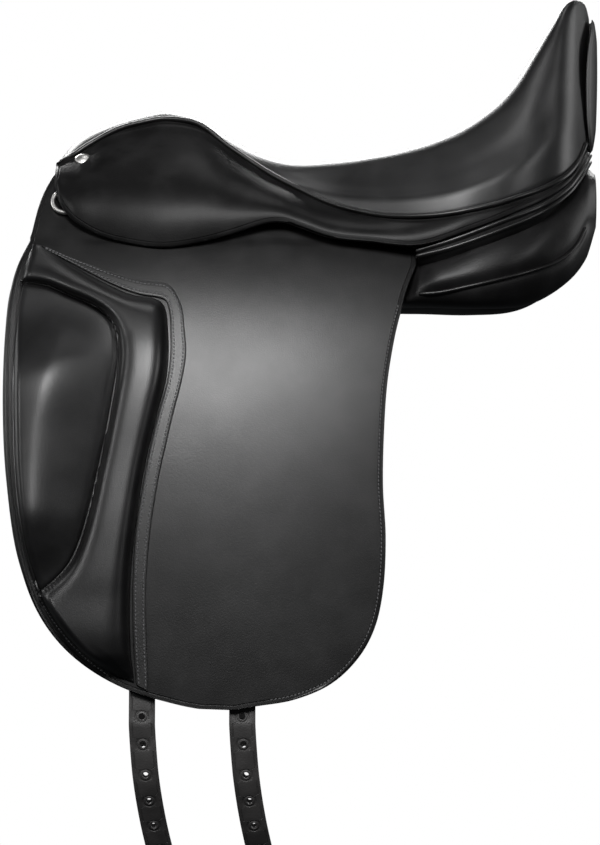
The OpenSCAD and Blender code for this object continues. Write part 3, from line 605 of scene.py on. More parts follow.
def edge_line(pairs, end, inset, u0, u1, count=240):
    """Line along the front (0) or rear (1) edge of a sheet, inset mm inside it."""
    return beside(curve(pairs, np.linspace(u0, u1, count))[:, end], -inset if end else inset)


def side_stitches(line, k):
    return stitches(layer(line, k), out_of(line))


# --- knee block ---

BLOCK_PAIRS = [
    ((-220, 43), (-213, 42)), ((-225, 28), (-178, 20)), ((-229, 8), (-142, 2)), ((-232, -12), (-113, -6)),
    ((-233, -35), (-107, -34)), ((-233, -65), (-108, -66)), ((-232, -100), (-116, -100)),
    ((-230, -140), (-125, -140)), ((-226, -175), (-131, -180)), ((-219, -210), (-135, -220)),
    ((-208, -240), (-136, -255)), ((-192, -266), (-135, -285)), ((-172, -288), (-133, -302)),
    ((-150, -305), (-132, -311)),
]
# How far the block stands out, from its top (0) to its foot (1)
BLOCK_RISE = [
    (0, 4), (0.06, 12), (0.13, 19), (0.25, 25), (0.5, 24), (0.65, 25), (0.8, 26), (0.94, 25), (0.98, 14),
    (1, 5),
]
INSET_SEAM = [
    (-229, 11), (-208, 8.5), (-188, 0), (-171, -7), (-158, -15), (-150, -26), (-147, -42), (-147.5, -60),
    (-154, -102), (-162, -143), (-172, -187), (-185, -219), (-208, -241),
]
BLOCK_TOP_Z, BLOCK_BOTTOM_Z = 43.0, -308.0
BLOCK_K = FACE_K + 0.2
BLOCK_LEAST = 0.4
# The roll climbs from the border to its crest, halfway to the inset's seam, and falls into a valley there.
# Its cross-section is round at the top (power 2) and squarer below
ROLL_CREST, VALLEY = 0.5, 0.22
ROLL_POWER, ROLL_TOP_POWER, ROLL_CHANGE_Z, ROLL_CHANGE = 3.3, 2.0, -25, 30
SHOULDER, SHOULDER_FLOOR = 7, 0.3
GROOVE, GROOVE_WIDTH = 1.5, 2.2
# The inset is a dome with a blunt ridge, which fades out toward its top and its foot
DOME_RISE, DOME_FADE_TOP, DOME_FADE_FOOT = 0.74, 100, 70
RIDGE_FRONT, RIDGE_BLUNT, RIDGE_BASE, RIDGE_SPAN = 0.45, 0.03, 0.173, 0.842
# Where the ridge is, from the front (0) to the seam (1), by height
DOME_PEAKS = [
    (-250, 0.13), (-200, 0.15), (-110, 0.2), (-90, 0.25), (-64, 0.31), (-50, 0.37), (-20, 0.45), (20, 0.5),
]

block_ends = curve(BLOCK_PAIRS, shares(160))
block_front = block_ends[:, 0]
block_seam = np.concatenate([block_ends[:, 1], block_ends[-1:, 0]])
inset_seam = curve(INSET_SEAM, shares(140))


def x_on(line, z):
    """x of a line that runs down the side, at height z."""
    return np.interp(-z, -line[:, 1], line[:, 0])


def rounded(t, power):
    """Rises from 0 to 1 as t does, steeply at first and level at the end."""
    return (1 - (1 - np.clip(t, 0, 1)) ** power) ** (1 / power)


def block_height(p):
    """Height of the block's face over the flap at each (x, z)."""
    x, z = p[:, 0], p[:, 1]
    down = np.clip((BLOCK_TOP_Z - z) / (BLOCK_TOP_Z - BLOCK_BOTTOM_Z), 0, 1)
    rise = at(BLOCK_RISE, down)[:, 1]
    to_seam, to_inset, to_front = (distance_to(p, line) for line in (block_seam, inset_seam, block_front))

    t = to_seam / (to_seam + to_inset + 1e-6)
    power = mix(ROLL_POWER, ROLL_TOP_POWER, smooth((z - ROLL_CHANGE_Z) / ROLL_CHANGE))
    climb = rounded(t / ROLL_CREST, power)
    past = np.clip((t - ROLL_CREST) / (1 - ROLL_CREST), 0, 1)
    fall = VALLEY + (1 - VALLEY) * (1 - past ** power) ** (1 / power)
    roll = np.where(t < ROLL_CREST, climb, fall)

    front_x, seam_x = x_on(block_front, z), x_on(inset_seam, z)
    v = np.clip((x - front_x) / np.maximum(seam_x - front_x, 1), 0, 1)
    peak = at(DOME_PEAKS, z)[:, 1]
    off_ridge = np.where(v < peak, RIDGE_FRONT, 1) * (v - peak) / (1 - peak)
    slope = np.sqrt(off_ridge ** 2 + RIDGE_BLUNT) - RIDGE_BASE
    top, foot = INSET_SEAM[0][1], INSET_SEAM[-1][1]
    fade = smooth(smooth((top - z) / DOME_FADE_TOP)) * smooth((z - foot) / DOME_FADE_FOOT)
    dome = VALLEY + fade * np.maximum(0, DOME_RISE * (1 - slope / RIDGE_SPAN))

    inside = (z < top) & (z > foot) & (x < seam_x)
    face = np.where(inside, dome, roll)
    shoulder = np.sqrt(1 - (1 - np.clip(to_front / SHOULDER, 0, 1)) ** 2)
    groove = GROOVE * np.exp(-(to_inset / GROOVE_WIDTH) ** 2)
    return np.maximum(BLOCK_LEAST, rise * face * mix(SHOULDER_FLOOR, 1, shoulder) - groove)


def block_surface(p, lift=0.0):
    """Points on the block's face over (x, z), raised by lift mm."""
    p = np.asarray(p, float)
    return layer(p, BLOCK_K + block_height(p.reshape(-1, 2)).reshape(p.shape[:-1]) + lift)


block_grid = span_pairs(BLOCK_PAIRS, 150, 64)
block_shape = sheet(block_surface(block_grid), layer(block_grid, BLOCK_K - 0.3), 0.15)
pair("knee_block_pad", block_shape, BLOCK, bend=FLAP_BEND, replaces=("knee_block",))

# The inset's leather lies INSET_LIFT above the block's face, and comes down to it along the seam
INSET_FROM, INSET_TO = 0.03, 0.985
INSET_LIFT, INSET_EDGE, INSET_SKIN = 1.3, 2.6, 0.25
inset_rows = curve(INSET_SEAM, np.linspace(INSET_FROM, INSET_TO, 84))
inset_front = np.stack([x_on(block_front, inset_rows[:, 1]) + 2.2, inset_rows[:, 1]], axis=1)
inset_grid = mix(inset_front[:, None], inset_rows[:, None], shares(41)[None, :, None])
to_edge = distance_to(inset_grid.reshape(-1, 2), inset_seam).reshape(inset_grid.shape[:2])
inset_lift = INSET_SKIN + INSET_LIFT * np.minimum(1, to_edge / INSET_EDGE)
inset_shape = sheet(block_surface(inset_grid, inset_lift), block_surface(inset_grid, -0.6), 0.25)
pair("block_inset_leather", inset_shape, BLOCK, bend=FLAP_BEND, replaces=("block_inset",))

PIPING = [
    (-228, 12), (-230.5, -20), (-231.5, -60), (-231, -100), (-229, -140), (-225.5, -173), (-219, -206),
    (-211, -234), (-207, -243),
]
piping_path = block_surface(curve(PIPING, shares(120)), 0.3)
pair("block_piping", tube(piping_path, 1.5, 8), WELT, bend=FLAP_BEND)
seam_path = block_surface(curve(INSET_SEAM, np.linspace(INSET_FROM, INSET_TO, 170)), 1.1)
EASE = 4  # each point of the seam's cord is the middle of this many points to each side
middles = range(EASE, len(seam_path) - EASE)
seam_path[EASE:-EASE] = [seam_path[i - EASE:i + EASE + 1].mean(axis=0) for i in middles]
pair("block_seam_welt", tube(seam_path, 1.4, 8), WELT, bend=FLAP_BEND)

BORDER_PAIRS = [
    ((-213, 41), (-213, 42)), ((-184, 25), (-183, 29.5)), ((-153, 9), (-151, 18)), ((-132, 1), (-130, 12.5)),
    ((-112, -3), (-108, 9)), ((-107, -12), (-97, -8)), ((-105.5, -30), (-94, -27)),
    ((-105.5, -50), (-92.5, -48)), ((-108, -72), (-96, -71)), ((-115, -98), (-102.5, -97)),
    ((-121, -124), (-108.5, -124)), ((-126, -151), (-114, -150)), ((-132, -190), (-120, -190)),
    ((-134, -230), (-123, -230)), ((-134, -256), (-123, -256)), ((-133, -284), (-122, -284)),
    ((-131, -308), (-121, -308)), ((-130, -313), (-121, -318)),
]
BORDER_K = FACE_K + 1.75
border_grid = span_pairs(BORDER_PAIRS, 200, 5)
pair("block_border_strip", on_side(border_grid, FACE_K + 0.05, BORDER_K, 0.6), PLAIN,
     bend=FLAP_BEND, replaces=("block_border",))
border_lines = curve(BORDER_PAIRS, np.linspace(0.01, 0.985, 400))
border_rows = [mix(border_lines[:, 0], border_lines[:, 1], share) for share in (0.24, 0.8)]
foot_row = edge_line(BLOCK_PAIRS, 0, -2.4, 0.74, 0.995)
block_thread = join(*(side_stitches(row, BORDER_K - 0.05) for row in border_rows),
                    side_stitches(foot_row, FACE_K - 0.02))
pair("block_stitching", block_thread, THREAD, bend=FLAP_BEND)
rear_row = edge_line(FLAP_PAIRS, 1, 3.6, 0.13, 0.9, 400)
pair("flap_stitching", side_stitches(rear_row, FACE_K - 0.1), THREAD, bend=FLAP_BEND)


# --- seat: [x, silhouette height, welt height, half width, dish, foam depth] ---

SEAT_ROWS = [
    (-202, 121, 113, 44, 0, 4), (-191, 134, 118.5, 50, 0, 9), (-177, 143, 128, 48, 0, 17),
    (-153, 152, 141.5, 41, 0, 25), (-128, 158.5, 148.5, 36.5, 0, 32), (-112, 160.5, 150.5, 36, 0, 34),
    (-85, 153.5, 145.5, 41, 0, 34), (-60, 138, 126.5, 49, 0, 28), (-34, 124, 108.5, 58, 0, 25),
    (-8, 117, 93, 70, 0.02, 22), (26, 117, 76.5, 84, 0.08, 24), (60, 119.5, 67, 99, 0.13, 28),
    (85, 124, 64.5, 108, 0.17, 31), (111, 131.5, 65, 114, 0.2, 34), (136, 142.5, 68.5, 116.5, 0.2, 36),
    (162, 160.5, 74.5, 113.5, 0.19, 38), (179, 179, 80, 108.5, 0.17, 39), (196, 205, 86, 100, 0.15, 38),
    (213, 232, 94.5, 87, 0.13, 34), (222, 246, 100.5, 76, 0.11, 30), (230, 252.5, 109, 61, 0.08, 24),
    (237, 253.5, 120, 42, 0.05, 16), (243, 249, 135, 24, 0.02, 10), (247, 236, 150, 8, 0, 6),
]
SEAT_FRONT, SEAT_REAR = -202, 247
ARCH = [(0, 1), (0.25, 0.97), (0.5, 0.87), (0.68, 0.7), (0.82, 0.48), (0.93, 0.22), (1, 0)]
RIM = [
    (0, 1), (0.25, 1), (0.5, 1), (0.66, 0.91), (0.78, 0.69), (0.86, 0.49), (0.93, 0.35), (0.98, 0.22), (1, 0),
]
MOST_END_IN, END_SHARE = 9, 0.8
# The section changes from an arch to a rimmed hollow from here, over this length
HOLLOW_FROM, HOLLOW_OVER = -60, 120
SEAT_CROWD, SIDE_CROWD = 1.25, 1.35


def crowded(u, power):
    """Numbers from 0 to 1 set closer together toward the end."""
    return 1 - (1 - u) ** power


def seat_point(x, q, side_in=0.0, down=0.0, share=0.0):
    """Point across the seat at q from -1 to 1: in from its sides, down by mm and by a share of the foam."""
    s = at(SEAT_ROWS, x)
    w = s[..., 3] - np.minimum(side_in, 0.7 * s[..., 3])
    h = s[..., 1] - down - share * s[..., 5] - s[..., 2]
    ends = min(side_in, MOST_END_IN) * END_SHARE
    xx = mix(SEAT_FRONT + ends, SEAT_REAR - ends, (x - SEAT_FRONT) / (SEAT_REAR - SEAT_FRONT))
    a = np.abs(q)
    hollow = np.where(a < 0.5, np.maximum(0, 1 - (a / 0.5) ** 2) ** 1.5, 0)
    rimmed = np.clip((x - HOLLOW_FROM) / HOLLOW_OVER, 0, 1)
    height = mix(at(ARCH, a)[..., 1], at(RIM, a)[..., 1], rimmed) - s[..., 4] * hollow
    return np.stack([xx, q * w, s[..., 2] + h * height], axis=-1)


def seat_sheet(x0, x1, rows, cols, q_edge, outer, inner, edge=0.8):
    x = mix(x0, x1, crowded(shares(rows + 1), SEAT_CROWD))[:, None]
    t = np.linspace(-1, 1, cols + 1)[None, :]
    x, q = np.broadcast_arrays(x, q_edge * np.sign(t) * crowded(np.abs(t), SIDE_CROWD))
    return sheet(seat_point(x, q, *outer), seat_point(x, q, *inner), edge)


cover = seat_sheet(SEAT_FRONT, SEAT_REAR, 150, 84, 1, (0, 0), (2.5, 2.5))
single("seat_cover_leather", cover, SEAT, "seat_cover")
foam = seat_sheet(-189, 236, 60, 32, 0.9, (6, 15), (11, 0, 1), 0.6)
single("seat_foam_block", foam, FOAM, "seat_foam")
strain = seat_sheet(-158, 130, 60, 10, 0.5, (9, 1.5, 1), (9, 3.5, 1), 0.5)
single("straining_web_sheet", strain, WEB, "straining_webs")

welt_x = mix(-200, 241, crowded(shares(200), SEAT_CROWD))
welt_rows = at(SEAT_ROWS, welt_x)
welt_path = np.stack([welt_x, welt_rows[:, 3] + 2.4, welt_rows[:, 2] + 1.6], axis=1)
pair("seat_piping", tube(welt_path, 2.2, 12), WELT, replaces=("seat_welt",))


# --- skirt: [x, top height, top half width, bottom height, bottom half width] ---

SKIRT_ROWS = [
    (-204, 111, 63, 93, 86), (-200, 114, 57, 80, 97), (-194, 117, 53, 70, 103), (-185, 121, 52, 61, 108),
    (-165, 136, 45.5, 50, 112), (-139, 144.5, 39.5, 43, 116), (-112, 149, 37.5, 40, 118.5),
    (-82, 143.5, 42, 44, 118.5), (-54, 122, 52.5, 51.5, 117), (-29, 104, 62, 59.4, 115),
    (-14, 95.5, 69, 60.5, 114.5), (0, 88, 76, 56, 115.5), (25, 76, 85.5, 47.5, 119), (57, 66.5, 100, 44, 121),
    (98, 63, 113, 41, 123.5), (140, 68, 118.5, 54, 122), (180, 78.5, 110.5, 70, 114), (210, 91, 93, 85, 97),
    (230, 107, 63, 102, 68), (241, 126, 30, 121, 34),
]
SKIRT_FRONT, SKIRT_REAR = SKIRT_ROWS[0][0], SKIRT_ROWS[-1][0]
SKIRT_CURL = 2.4
SKIRT_UNDER = 2.6  # the skirt's top edge reaches this far above its line, against the seat's piping


def skirt_point(x, v, depth=0.0):
    """Point on the skirt from its top line (v = 0) to its lower edge (1), depth mm below its face."""
    s = at(SKIRT_ROWS, x)
    left_over = 1 - np.clip(v, 0, 1)
    y = mix(s[..., 2], s[..., 4], 1 - left_over ** SKIRT_CURL)
    z = mix(s[..., 1], s[..., 3], v)
    fall = np.maximum(1, s[..., 1] - s[..., 3])
    lean = SKIRT_CURL * (s[..., 4] - s[..., 2]) * left_over ** (SKIRT_CURL - 1) / fall
    n = np.sqrt(1 + lean ** 2)
    return np.stack([x, y - depth / n, z - depth * lean / n], axis=-1)


skirt_x = mix(SKIRT_FRONT, SKIRT_REAR, shares(151) ** 1.2)[None, :]
skirt_fall = at(SKIRT_ROWS, skirt_x)[..., 1] - at(SKIRT_ROWS, skirt_x)[..., 3]
skirt_v = mix(-SKIRT_UNDER / skirt_fall, 1, shares(30)[:, None])
skirt_x = np.broadcast_to(skirt_x, skirt_v.shape)
skirt_shape = sheet(skirt_point(skirt_x, skirt_v), skirt_point(skirt_x, skirt_v, SKIRT_T), 1.2)
SKIRT_BEND = ("skirt", (-109, 118, 74), (-112.2, 118, 55))
pair("skirt_leather", skirt_shape, SKIRT, bend=SKIRT_BEND, replaces=("skirt_top", "skirt"))


# --- rear facing: two leather rolls between the skirt's tail and the panel ---

FACING_ROWS = [
    (97, 39, 31.5, 119), (125, 48, 38, 121), (165, 63.5, 52, 118), (200, 77, 68, 106),
    (225, 94, 86, 82), (238, 110, 101, 56), (247, 124, 114, 28),
]
ROLL_IN = 2.0
face_x = np.linspace(FACING_ROWS[0][0], FACING_ROWS[-1][0], 90)
face_rows = at(FACING_ROWS, face_x)
# Toward the cantle the strip's inner face lies further forward, by up to 1 mm for each mm it lies in
forward = np.clip((face_x - 200) / 47, 0, 1)


def facing_line(share_down, inward=0.0):
    """Line along the facing, at a share of its height, inward mm from its outer face."""
    return np.stack([face_x - inward * forward, face_rows[:, 3] - inward,
                     mix(face_rows[:, 1], face_rows[:, 2], share_down)], axis=1)


# The strip's margins tuck in: (share down, mm further in)
FACING_TUCKS = [(-1.4, 14), (-0.6, 6), (0, 0), (0.3, 0), (0.7, 0), (1, 0), (1.5, 6), (2.2, 14)]
facing_outer, facing_inner = (
    np.stack([facing_line(share, inward + tuck) for share, tuck in FACING_TUCKS], axis=1)
    for inward in (1.6, 4.0))
facing = join(sheet(facing_outer, facing_inner, 0.4), tube(facing_line(0.22, ROLL_IN), 2.3, 10),
              tube(facing_line(0.8, ROLL_IN), 2.1, 10))
pair("rear_facing_rolls", facing, WELT, replaces=("rear_facing",))


# --- panels ---

# Each row is x, then the (half width, height) of nine points round the section
PANEL_ROWS = [
    (-209, 38, 74, 34, 68, 36, 58, 45, 46, 56, 34, 63, 32, 63, 42, 56, 54, 47, 68),
    (-190, 34, 83, 28, 70, 34, 42, 54, 10, 80, -22, 88, -18, 75, 14, 58, 43, 45, 70),
    (-160, 32, 80, 27, 66, 34, 34, 58, 0, 88, -36, 97, -26, 79, 6, 61, 39, 45, 69),
    (-110, 34, 76, 29, 54, 36, 22, 62, -6, 98, -42, 122, -42, 110, -8, 90, 26, 62, 58),
    (-50, 33, 60, 30, 40, 38, 12, 62, -4, 104, -44, 134, -50, 120, -12, 100, 24, 64, 53),
    (0, 33, 49, 30, 36, 38, 11, 60, -1, 104, -36, 134, -44, 120, -8, 102, 22, 66, 44),
    (55, 34, 45, 31, 32, 40, 7, 66, -8, 100, -10, 126, -9, 124, 2, 112, 20, 72, 36),
    (100, 34, 46, 31, 30, 44, 0, 72, -8, 104, -8, 120, 0, 121, 13, 108, 26, 76, 36),
    (150, 36, 58, 33, 36, 45, 6, 72, -7, 104, -9, 120, 4, 122, 24, 109, 45, 74, 56),
    (190, 40, 76, 37, 50, 44, 20, 62, -2, 90, -5, 108, 12, 112, 38, 102, 60, 70, 73),
    (220, 38, 88, 36, 68, 42, 40, 53, 17, 73, 11, 87, 29, 89, 56, 79, 77, 56, 87),
    (240, 28, 110, 26, 86, 32, 58, 42, 38, 53, 34, 63, 54, 64, 80, 54, 97, 40, 107),
    (249, 29, 104, 28, 86, 34, 71, 40, 62, 46, 61, 50, 73, 50, 87, 45, 97, 37, 103),
]
PANEL_POINTS = 9
PANEL_STEPS, OUTER_SIDE = 90, slice(40, 86)
PANEL_CLEARANCE, LIMIT_EASE = 1, 3
# Behind the sweat flap the panel may swell past it: (x where a swell starts, its length, how far it goes)
SWELLS = [(86, 11, 8), (92, 36, 30)]
GUSSET = [(96, 1.4), (115, 3), (132, 6.4), (165, 14), (194, 22), (216, 31), (231, 45), (240, 62)]
PINCH, PINCH_WIDTH, PINCH_FROM, PINCH_OVER = 2.4, 5.0, 90, 20


def panel_ring(x):
    """Section of the panel at x as (half width, height), held inside the sweat flap."""
    p = at(PANEL_ROWS, x)[1:].reshape(PANEL_POINTS, 2)
    s = np.arange(PANEL_STEPS) * PANEL_POINTS / PANEL_STEPS
    k = s.astype(int)
    ring = spline(*(p[(k + i) % PANEL_POINTS] for i in (-1, 0, 1, 2)), (s - k)[:, None])
    most = side_y(x, ring[:, 1]) - PANEL_CLEARANCE
    for start, length, swell in SWELLS:
        most = most + swell * smooth((x - start) / length)
    ring[:, 0] = most - LIMIT_EASE * np.log1p(np.exp((most - ring[:, 0]) / LIMIT_EASE))
    return ring


def panel_side(x, z):
    """Half width of the panel's outer side at (x, z)."""
    outer = panel_ring(x)[OUTER_SIDE]
    order = np.argsort(outer[:, 1])
    return float(np.interp(z, outer[order, 1], outer[order, 0]))


def gusset_z(x):
    return float(at(GUSSET, x)[1])


panel_x = np.concatenate([np.linspace(-209, 98, 74), np.linspace(100, 232, 52), np.linspace(234, 249, 12)])
panel_rings = []
for x in panel_x:
    ring = panel_ring(x)
    if x > PINCH_FROM:
        widest = ring[:, 0].max()
        outer_side = smooth((ring[:, 0] - 0.6 * widest) / (0.3 * widest))
        pinch = PINCH * np.exp(-((ring[:, 1] - gusset_z(x)) / PINCH_WIDTH) ** 2)
        ring[:, 0] -= pinch * smooth((x - PINCH_FROM) / PINCH_OVER) * outer_side
    panel_rings.append(np.column_stack([np.full(len(ring), x), ring]))
pair("panel_leather", loft(panel_rings), PANEL, replaces=("panel",))
gusset_path = [(x, panel_side(x, gusset_z(x)) - 1.5, gusset_z(x)) for x in np.linspace(99, 238, 90)]
pair("panel_welt", tube(gusset_path, 1.6, 10), WELT)


# --- point pockets ---

POCKET_OUTER = [(87.4, 34), (93.5, 21), (99.4, 8), (101, 1), (98.6, -3), (92, -3)]
POCKET_INNER = [(84.8, 34), (90.5, 21), (95.8, 8), (98, 2.5), (96.8, 0), (92, -0.6)]


def across_x(line, xs):
    """Grid that repeats a line of (half width, height) at each of a list of x."""
    return np.stack([np.column_stack([np.full(len(line), x), line]) for x in xs], axis=1)


pocket = sheet(*(across_x(curve(points, shares(30)), np.linspace(-182, -148, 12))
                 for points in (POCKET_OUTER, POCKET_INNER)), 0.7)
pair("point_pocket_leather", pocket, PLAIN, replaces=("point_pocket",))


# --- girth straps ---

STRAP_W, HOLE_R, HOLE_PITCH, HOLES, UPPER_HOLE = 21.0, 2.3, 22.0, 8, -6.5
HOLE_RADII, HOLE_SQUARE = (4.6, 3.4, HOLE_R), 5.5
PRESS_DEPTH, PRESS_AT, PRESS_WIDTH = 0.55, 3.6, 0.9
STRAP_TOP_Z, HINGE_Z, END_GAP, END_LEN, TIP_FROM, TIP_TAPER = 50.0, -345.0, 2.5, 190.0, 0.94, 0.86
BEND_FROM, BEND_TO = -8.0, 18.0
STRAP_X = {"front": -126.0, "rear": -46.0}
STRAP_EASE = 0.3  # the outer face lies back by this much, so that a swinging strap clears the flap
# Each side's path below the bend, first hole and lean. The off side's straps hang straighter and lean forward
HANGS = {
    "left": ([(0, 0, 0), (3, -1, -37.9), (8.2, -12, -73.7), (15.5, -26, -108), (24, -40, -142),
              (34, -54, -175)], 15.5, {"front": 0, "rear": 0}),
    "right": ([(0, 0, 0), (1.2, 1, -38), (4.2, -1, -75.8), (9.8, -5, -113.3), (18, -11, -150),
               (28, -19, -186)], 9.2, {"front": 18.2, "rear": 6.5}),
}


def strap_centre(strap, s):
    """Middle line of a strap. s is negative above the bend, and runs to END_LEN at the tip."""
    x, lean, path = strap
    s = np.asarray(s, float)
    z = np.maximum(HINGE_Z, HINGE_Z - s)
    down = (STRAP_TOP_Z - z) / (STRAP_TOP_Z - HINGE_Z)
    above = layer(np.stack([x - lean * down, z], axis=-1), STRAP_K + STRAP_T / 2)
    below = curve(path, np.clip(s / END_LEN, 0, 1))
    below[..., 2] -= END_GAP * np.clip(s / 12, 0, 1)
    return above + below


def strap_point(strap, s, w, k):
    """Point at s along a strap, w across it from -1 to 1, and k mm out from its middle."""
    along = unit(strap_centre(strap, np.minimum(s + 1.5, END_LEN)) - strap_centre(strap, s - 1.5))
    across = unit(np.array([1.0, 0, 0]) - along * along[..., :1])
    out = np.cross(across, along)
    tip = np.clip((s / END_LEN - TIP_FROM) / (1 - TIP_FROM), 0, 1)
    width = w * STRAP_W / 2 * np.sqrt(1 - TIP_TAPER * tip ** 2)
    return strap_centre(strap, s) + across * width[..., None] + out * k


def strap_net(first_hole):
    """Flat net of a strap as (s, w) points and faces, with a ring of points round each hole."""
    points, faces, seen = [], [], {}

    def point(s, w):
        key = (round(s, 4), round(w, 4))
        if key not in seen:
            seen[key] = len(points)
            points.append(key)
        return seen[key]

    half = HOLE_SQUARE
    centres = [UPPER_HOLE] + [first_hole + i * HOLE_PITCH for i in range(HOLES)]
    bands = [np.linspace(HINGE_Z - STRAP_TOP_Z, centres[0] - half, 64)]
    for a, b in zip(centres, centres[1:]):
        bands.append(np.linspace(a + half, b - half, 2 + int((b - a - 2 * half) / 4)))
    bands.append(mix(centres[-1] + half, END_LEN, np.array([0, 0.35, 0.6, 0.8, 0.92, 1])))
    lanes = (-1.0, -0.5, 0.0, 0.5, 1.0)
    for band in bands:
        for a, b in zip(band, band[1:]):
            faces += [(point(a, v), point(a, w), point(b, w), point(b, v)) for v, w in zip(lanes, lanes[1:])]
    walk = (0, 0.5, 1, 1, 1, 1, 1, 0.5, 0, -0.5, -1, -1, -1, -1, -1, -0.5)
    square = list(zip(walk, walk[4:] + walk[:4]))
    turns = [i * math.pi / 8 for i in range(16)]
    for c in centres:
        rings = [[point(c + half * s, w) for s, w in square]]
        for radius in HOLE_RADII:
            rings.append([point(c + radius * math.sin(t), radius * math.cos(t) / (STRAP_W / 2))
                          for t in turns])
        for far, near in zip(rings, rings[1:]):
            faces += [(far[i], far[(i + 1) % 16], near[(i + 1) % 16], near[i]) for i in range(16)]
    return np.array(points), faces, np.array(centres)


def pressed(s, w, centres):
    """How far the leather is pressed in round each hole by the tool that cut it."""
    gaps = np.hypot(s[:, None] - centres[None], w[:, None] * STRAP_W / 2).min(axis=1)
    return PRESS_DEPTH * np.exp(-((gaps - PRESS_AT) / PRESS_WIDTH) ** 2)


for which, x in STRAP_X.items():
    for side in SIDES:
        path, first_hole, leans = HANGS[side]
        strap = (x, leans[which], path)
        net, net_faces, centres = strap_net(first_hole)
        s, w = net[:, 0], net[:, 1]
        out = STRAP_T / 2 - STRAP_EASE - pressed(s, w, centres)
        outer, inner = (strap_point(strap, s, w, k) for k in (out[:, None], -STRAP_T / 2))
        shape = solid(outer, inner, net_faces, 0.7)
        obj = piece(f"{which}_girth_strap_{side}", shape, STRAP, mirrored=side == "left")
        nodes = (f"{which}_strap_{side}", f"{which}_strap_end_{side}")
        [sided(strap_centre(strap, s), side) for s in (BEND_FROM, BEND_TO)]
        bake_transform(obj)
        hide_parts(*nodes)


# --- girth webs over the tree ---

WEB_WIDTH, WEB_T = 50, 2
WEB_PATHS = {
    "front": [(0, 112), (40, 109), (62, 101), (76, 98.5), (85.6, 94), (86.2, 80), (86.2, 62), (90, 52),
              (94, 45)],
    "rear": [(0, 92), (36, 90), (58, 87.5), (70, 86.5), (78.5, 82), (79, 68), (82, 60), (88, 53), (92.5, 45)],
}
for which, half_path in WEB_PATHS.items():
    whole = np.array([(-y, z) for y, z in half_path[:0:-1]] + half_path, float)
    steps = np.linspace(0, len(whole) - 1, 121)
    line = np.stack([np.interp(steps, range(len(whole)), whole[:, k]) for k in range(2)], axis=1)
    inner = beside(line, -WEB_T)
    xs = STRAP_X[which] + np.linspace(-WEB_WIDTH / 2, WEB_WIDTH / 2, 9)
    web = sheet(across_x(line, xs), across_x(inner, xs), 0.5)
    single(f"girth_web_{which}_sheet", web, WEB, f"girth_web_{which}")


# --- cantle back and pommel facing ---

BACK_ROWS = [(126, 18.5), (138, 27.3), (155, 34.3), (185, 37), (215, 30.8), (240, 13.2)]
BACK_BOTTOM, BACK_TOP = 126, 238
BACK_X, BACK_MIDDLE, BACK_BOW_UP, BACK_BOW_ACROSS = 248.6, 195, 0.00048, 0.0063
back_z = np.linspace(BACK_BOTTOM, BACK_TOP, 60)[:, None]
back_v = np.linspace(-1, 1, 37)[None, :]
back_y = back_v * at(BACK_ROWS, back_z[:, 0])[:, 1][:, None]


def back_grid(depth):
    """Face of the cantle's back, depth mm further to the rear than its bed."""
    x = BACK_X - BACK_BOW_UP * (back_z - BACK_MIDDLE) ** 2 - BACK_BOW_ACROSS * back_y ** 2 + depth
    return np.stack(np.broadcast_arrays(x, back_y, back_z), axis=-1)


from_edge = np.minimum(1 - np.abs(back_v), np.minimum(back_z - BACK_BOTTOM, BACK_TOP - back_z) / 40)
crown = 2.2 + 2.6 * np.sqrt(np.clip(from_edge * 2.2, 0, 1))
cantle = sheet(back_grid(crown), back_grid(1.2), 0.5)
single("cantle_back_leather", cantle, SEAT, "cantle_back")

HEAD_OUTER = [(0, 119), (25, 116), (42, 107), (56, 92), (66, 73), (74, 53)]
HEAD_INNER = [(0, 106), (22, 103), (36, 96), (48, 83), (59, 63), (66, 49)]
ARCH_COLS = 9
arch_u = np.linspace(-1, 1, 81)
arch_ends = (curve(line, np.abs(arch_u))[:, None] for line in (HEAD_OUTER, HEAD_INNER))
arch = mix(*arch_ends, shares(ARCH_COLS)[:, None])
arch[..., 0] *= np.where(arch_u > 0, 1, -1)[:, None]
puff = 1.6 * np.sin(np.linspace(0, math.pi, ARCH_COLS))[None, :]


def arch_grid(x):
    return np.concatenate([np.broadcast_to(x, arch.shape[:2])[..., None], arch], axis=-1)


facing = sheet(arch_grid(-194.6 - puff), arch_grid(-192.2), 0.8)
single("pommel_facing_leather", facing, SEAT, "pommel_facing")


# --- dee chapes ---

DEE_X, DEE_Z, DEE_LIFT, DEE_TURN = -193.0, 80.0, 4.1, math.radians(58)
CHAPE_WIDTH, CHAPE_T = 17.0, 0.9


def chape():
    """Strap folded round the dee's straight bar, drawn in the dee's own place on the side."""
    loop = [(14, -3.1), (8, -3.1), (2, -3.2), (-1.6, -2.6), (-3.1, -0.6), (-2.4, 1.9), (0, 3.1), (2.4, 1.9),
            (3.1, 0), (2.0, -0.9)]
    centre = layer((DEE_X, DEE_Z), FACE_K + DEE_LIFT)
    slope = math.atan(float(side_y(DEE_X, DEE_Z - 1) - side_y(DEE_X, DEE_Z + 1)) / 2)
    line = curve(loop, shares(60))
    thick = beside(line, CHAPE_T)

    def place(a, yz):
        x, out = turned(a, yz[:, 0], DEE_TURN)
        y, z = turned(yz[:, 1], out, slope)
        return np.stack([-x, y, z], axis=1) + centre

    across = np.linspace(-CHAPE_WIDTH / 2, CHAPE_WIDTH / 2, 7)
    return sheet(*(np.stack([place(a, side) for a in across], axis=1) for side in (line, thick)), 0.4)


pair("dee_chape_leather", chape(), PLAIN, replaces=("dee_chape",))


# --- CAD parts that stay ---

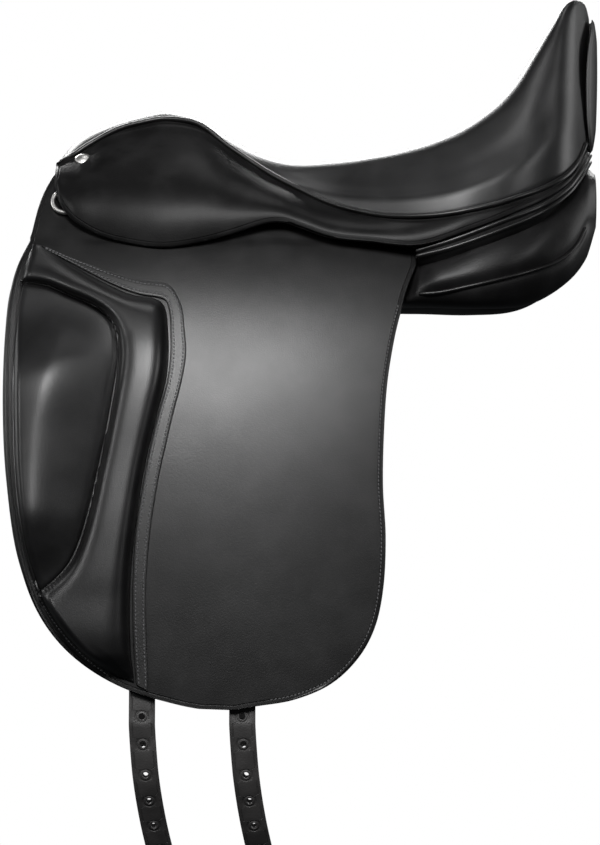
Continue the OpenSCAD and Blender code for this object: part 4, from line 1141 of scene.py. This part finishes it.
def finish_of(name):
    if name.startswith(("tree_head", "tree_rail", "tree_cantle")):
        return WOOD
    if name.startswith(("skirt_nail", "dee_left", "dee_right")):
        return NICKEL
    if name.startswith(("head_plate", "gullet_plate", "tree_rivets", "stirrup_bar", "bar_catch")):
        return STEEL
    return PLAIN


for name, node in frame["nodes"].items():
    for each in [node] if node.type == "MESH" else node.children_recursive:
        if each.type != "MESH":
            continue
        for place in each.material_slots:
            place.link = "OBJECT"
            place.material = finish_of(name)


# --- studio ---

scene.view_settings.view_transform = "Standard"
scene.view_settings.look = "None"
scene.view_settings.exposure = 0
scene.view_settings.gamma = 1

# The camera sees a plain white ground; the saddle is lit by a faint cool glow and the softboxes
world = bpy.data.worlds.new("studio")
scene.world = world
n = Nodes(world)
seen = n.add("LightPath", "Is Camera Ray", {})
glow = n.add("Background", 0, {0: (0.9, 0.95, 1, 1), 1: 0.03})
ground = n.add("Background", 0, {0: (1, 1, 1, 1)})
n.add("OutputWorld", None, {0: n.add("MixShader", 0, {0: seen, 1: glow, 2: ground})})


def softbox(name, location, aim, width, height, watts):
    """Rectangular light in metres, turned toward a point."""
    lamp = bpy.data.lights.new(name, "AREA")
    lamp.shape = "RECTANGLE"
    lamp.size, lamp.size_y = width, height
    lamp.energy = watts
    obj = bpy.data.objects.new(name, lamp)
    obj.location = location
    obj.rotation_euler = (Vector(aim) - Vector(location)).to_track_quat("-Z", "Y").to_euler()
    scene.collection.objects.link(obj)


softbox("key", (-0.12, -1.58, 1.0), (0, -0.15, -0.02), 0.55, 0.5, 26)
softbox("back", (-0.1, 1.6, 1.0), (0, 0.15, -0.02), 2.4, 0.5, 48)
softbox("front_corner", (-1.6, -1.35, 0.85), (0, -0.15, -0.05), 0.5, 0.5, 9)
softbox("rear_corner", (1.6, -1.35, 0.85), (0, -0.15, -0.05), 0.5, 0.5, 7)
softbox("over", (0.1, 0, 1.9), (0.05, 0, 0), 0.8, 0.6, 5)
softbox("left_strip", (-1.9, 0.35, 0.55), (-0.1, 0, 0), 0.5, 1.2, 8)
softbox("right_strip", (1.85, 0.7, 0.5), (0.1, 0, 0), 0.5, 1.2, 7)
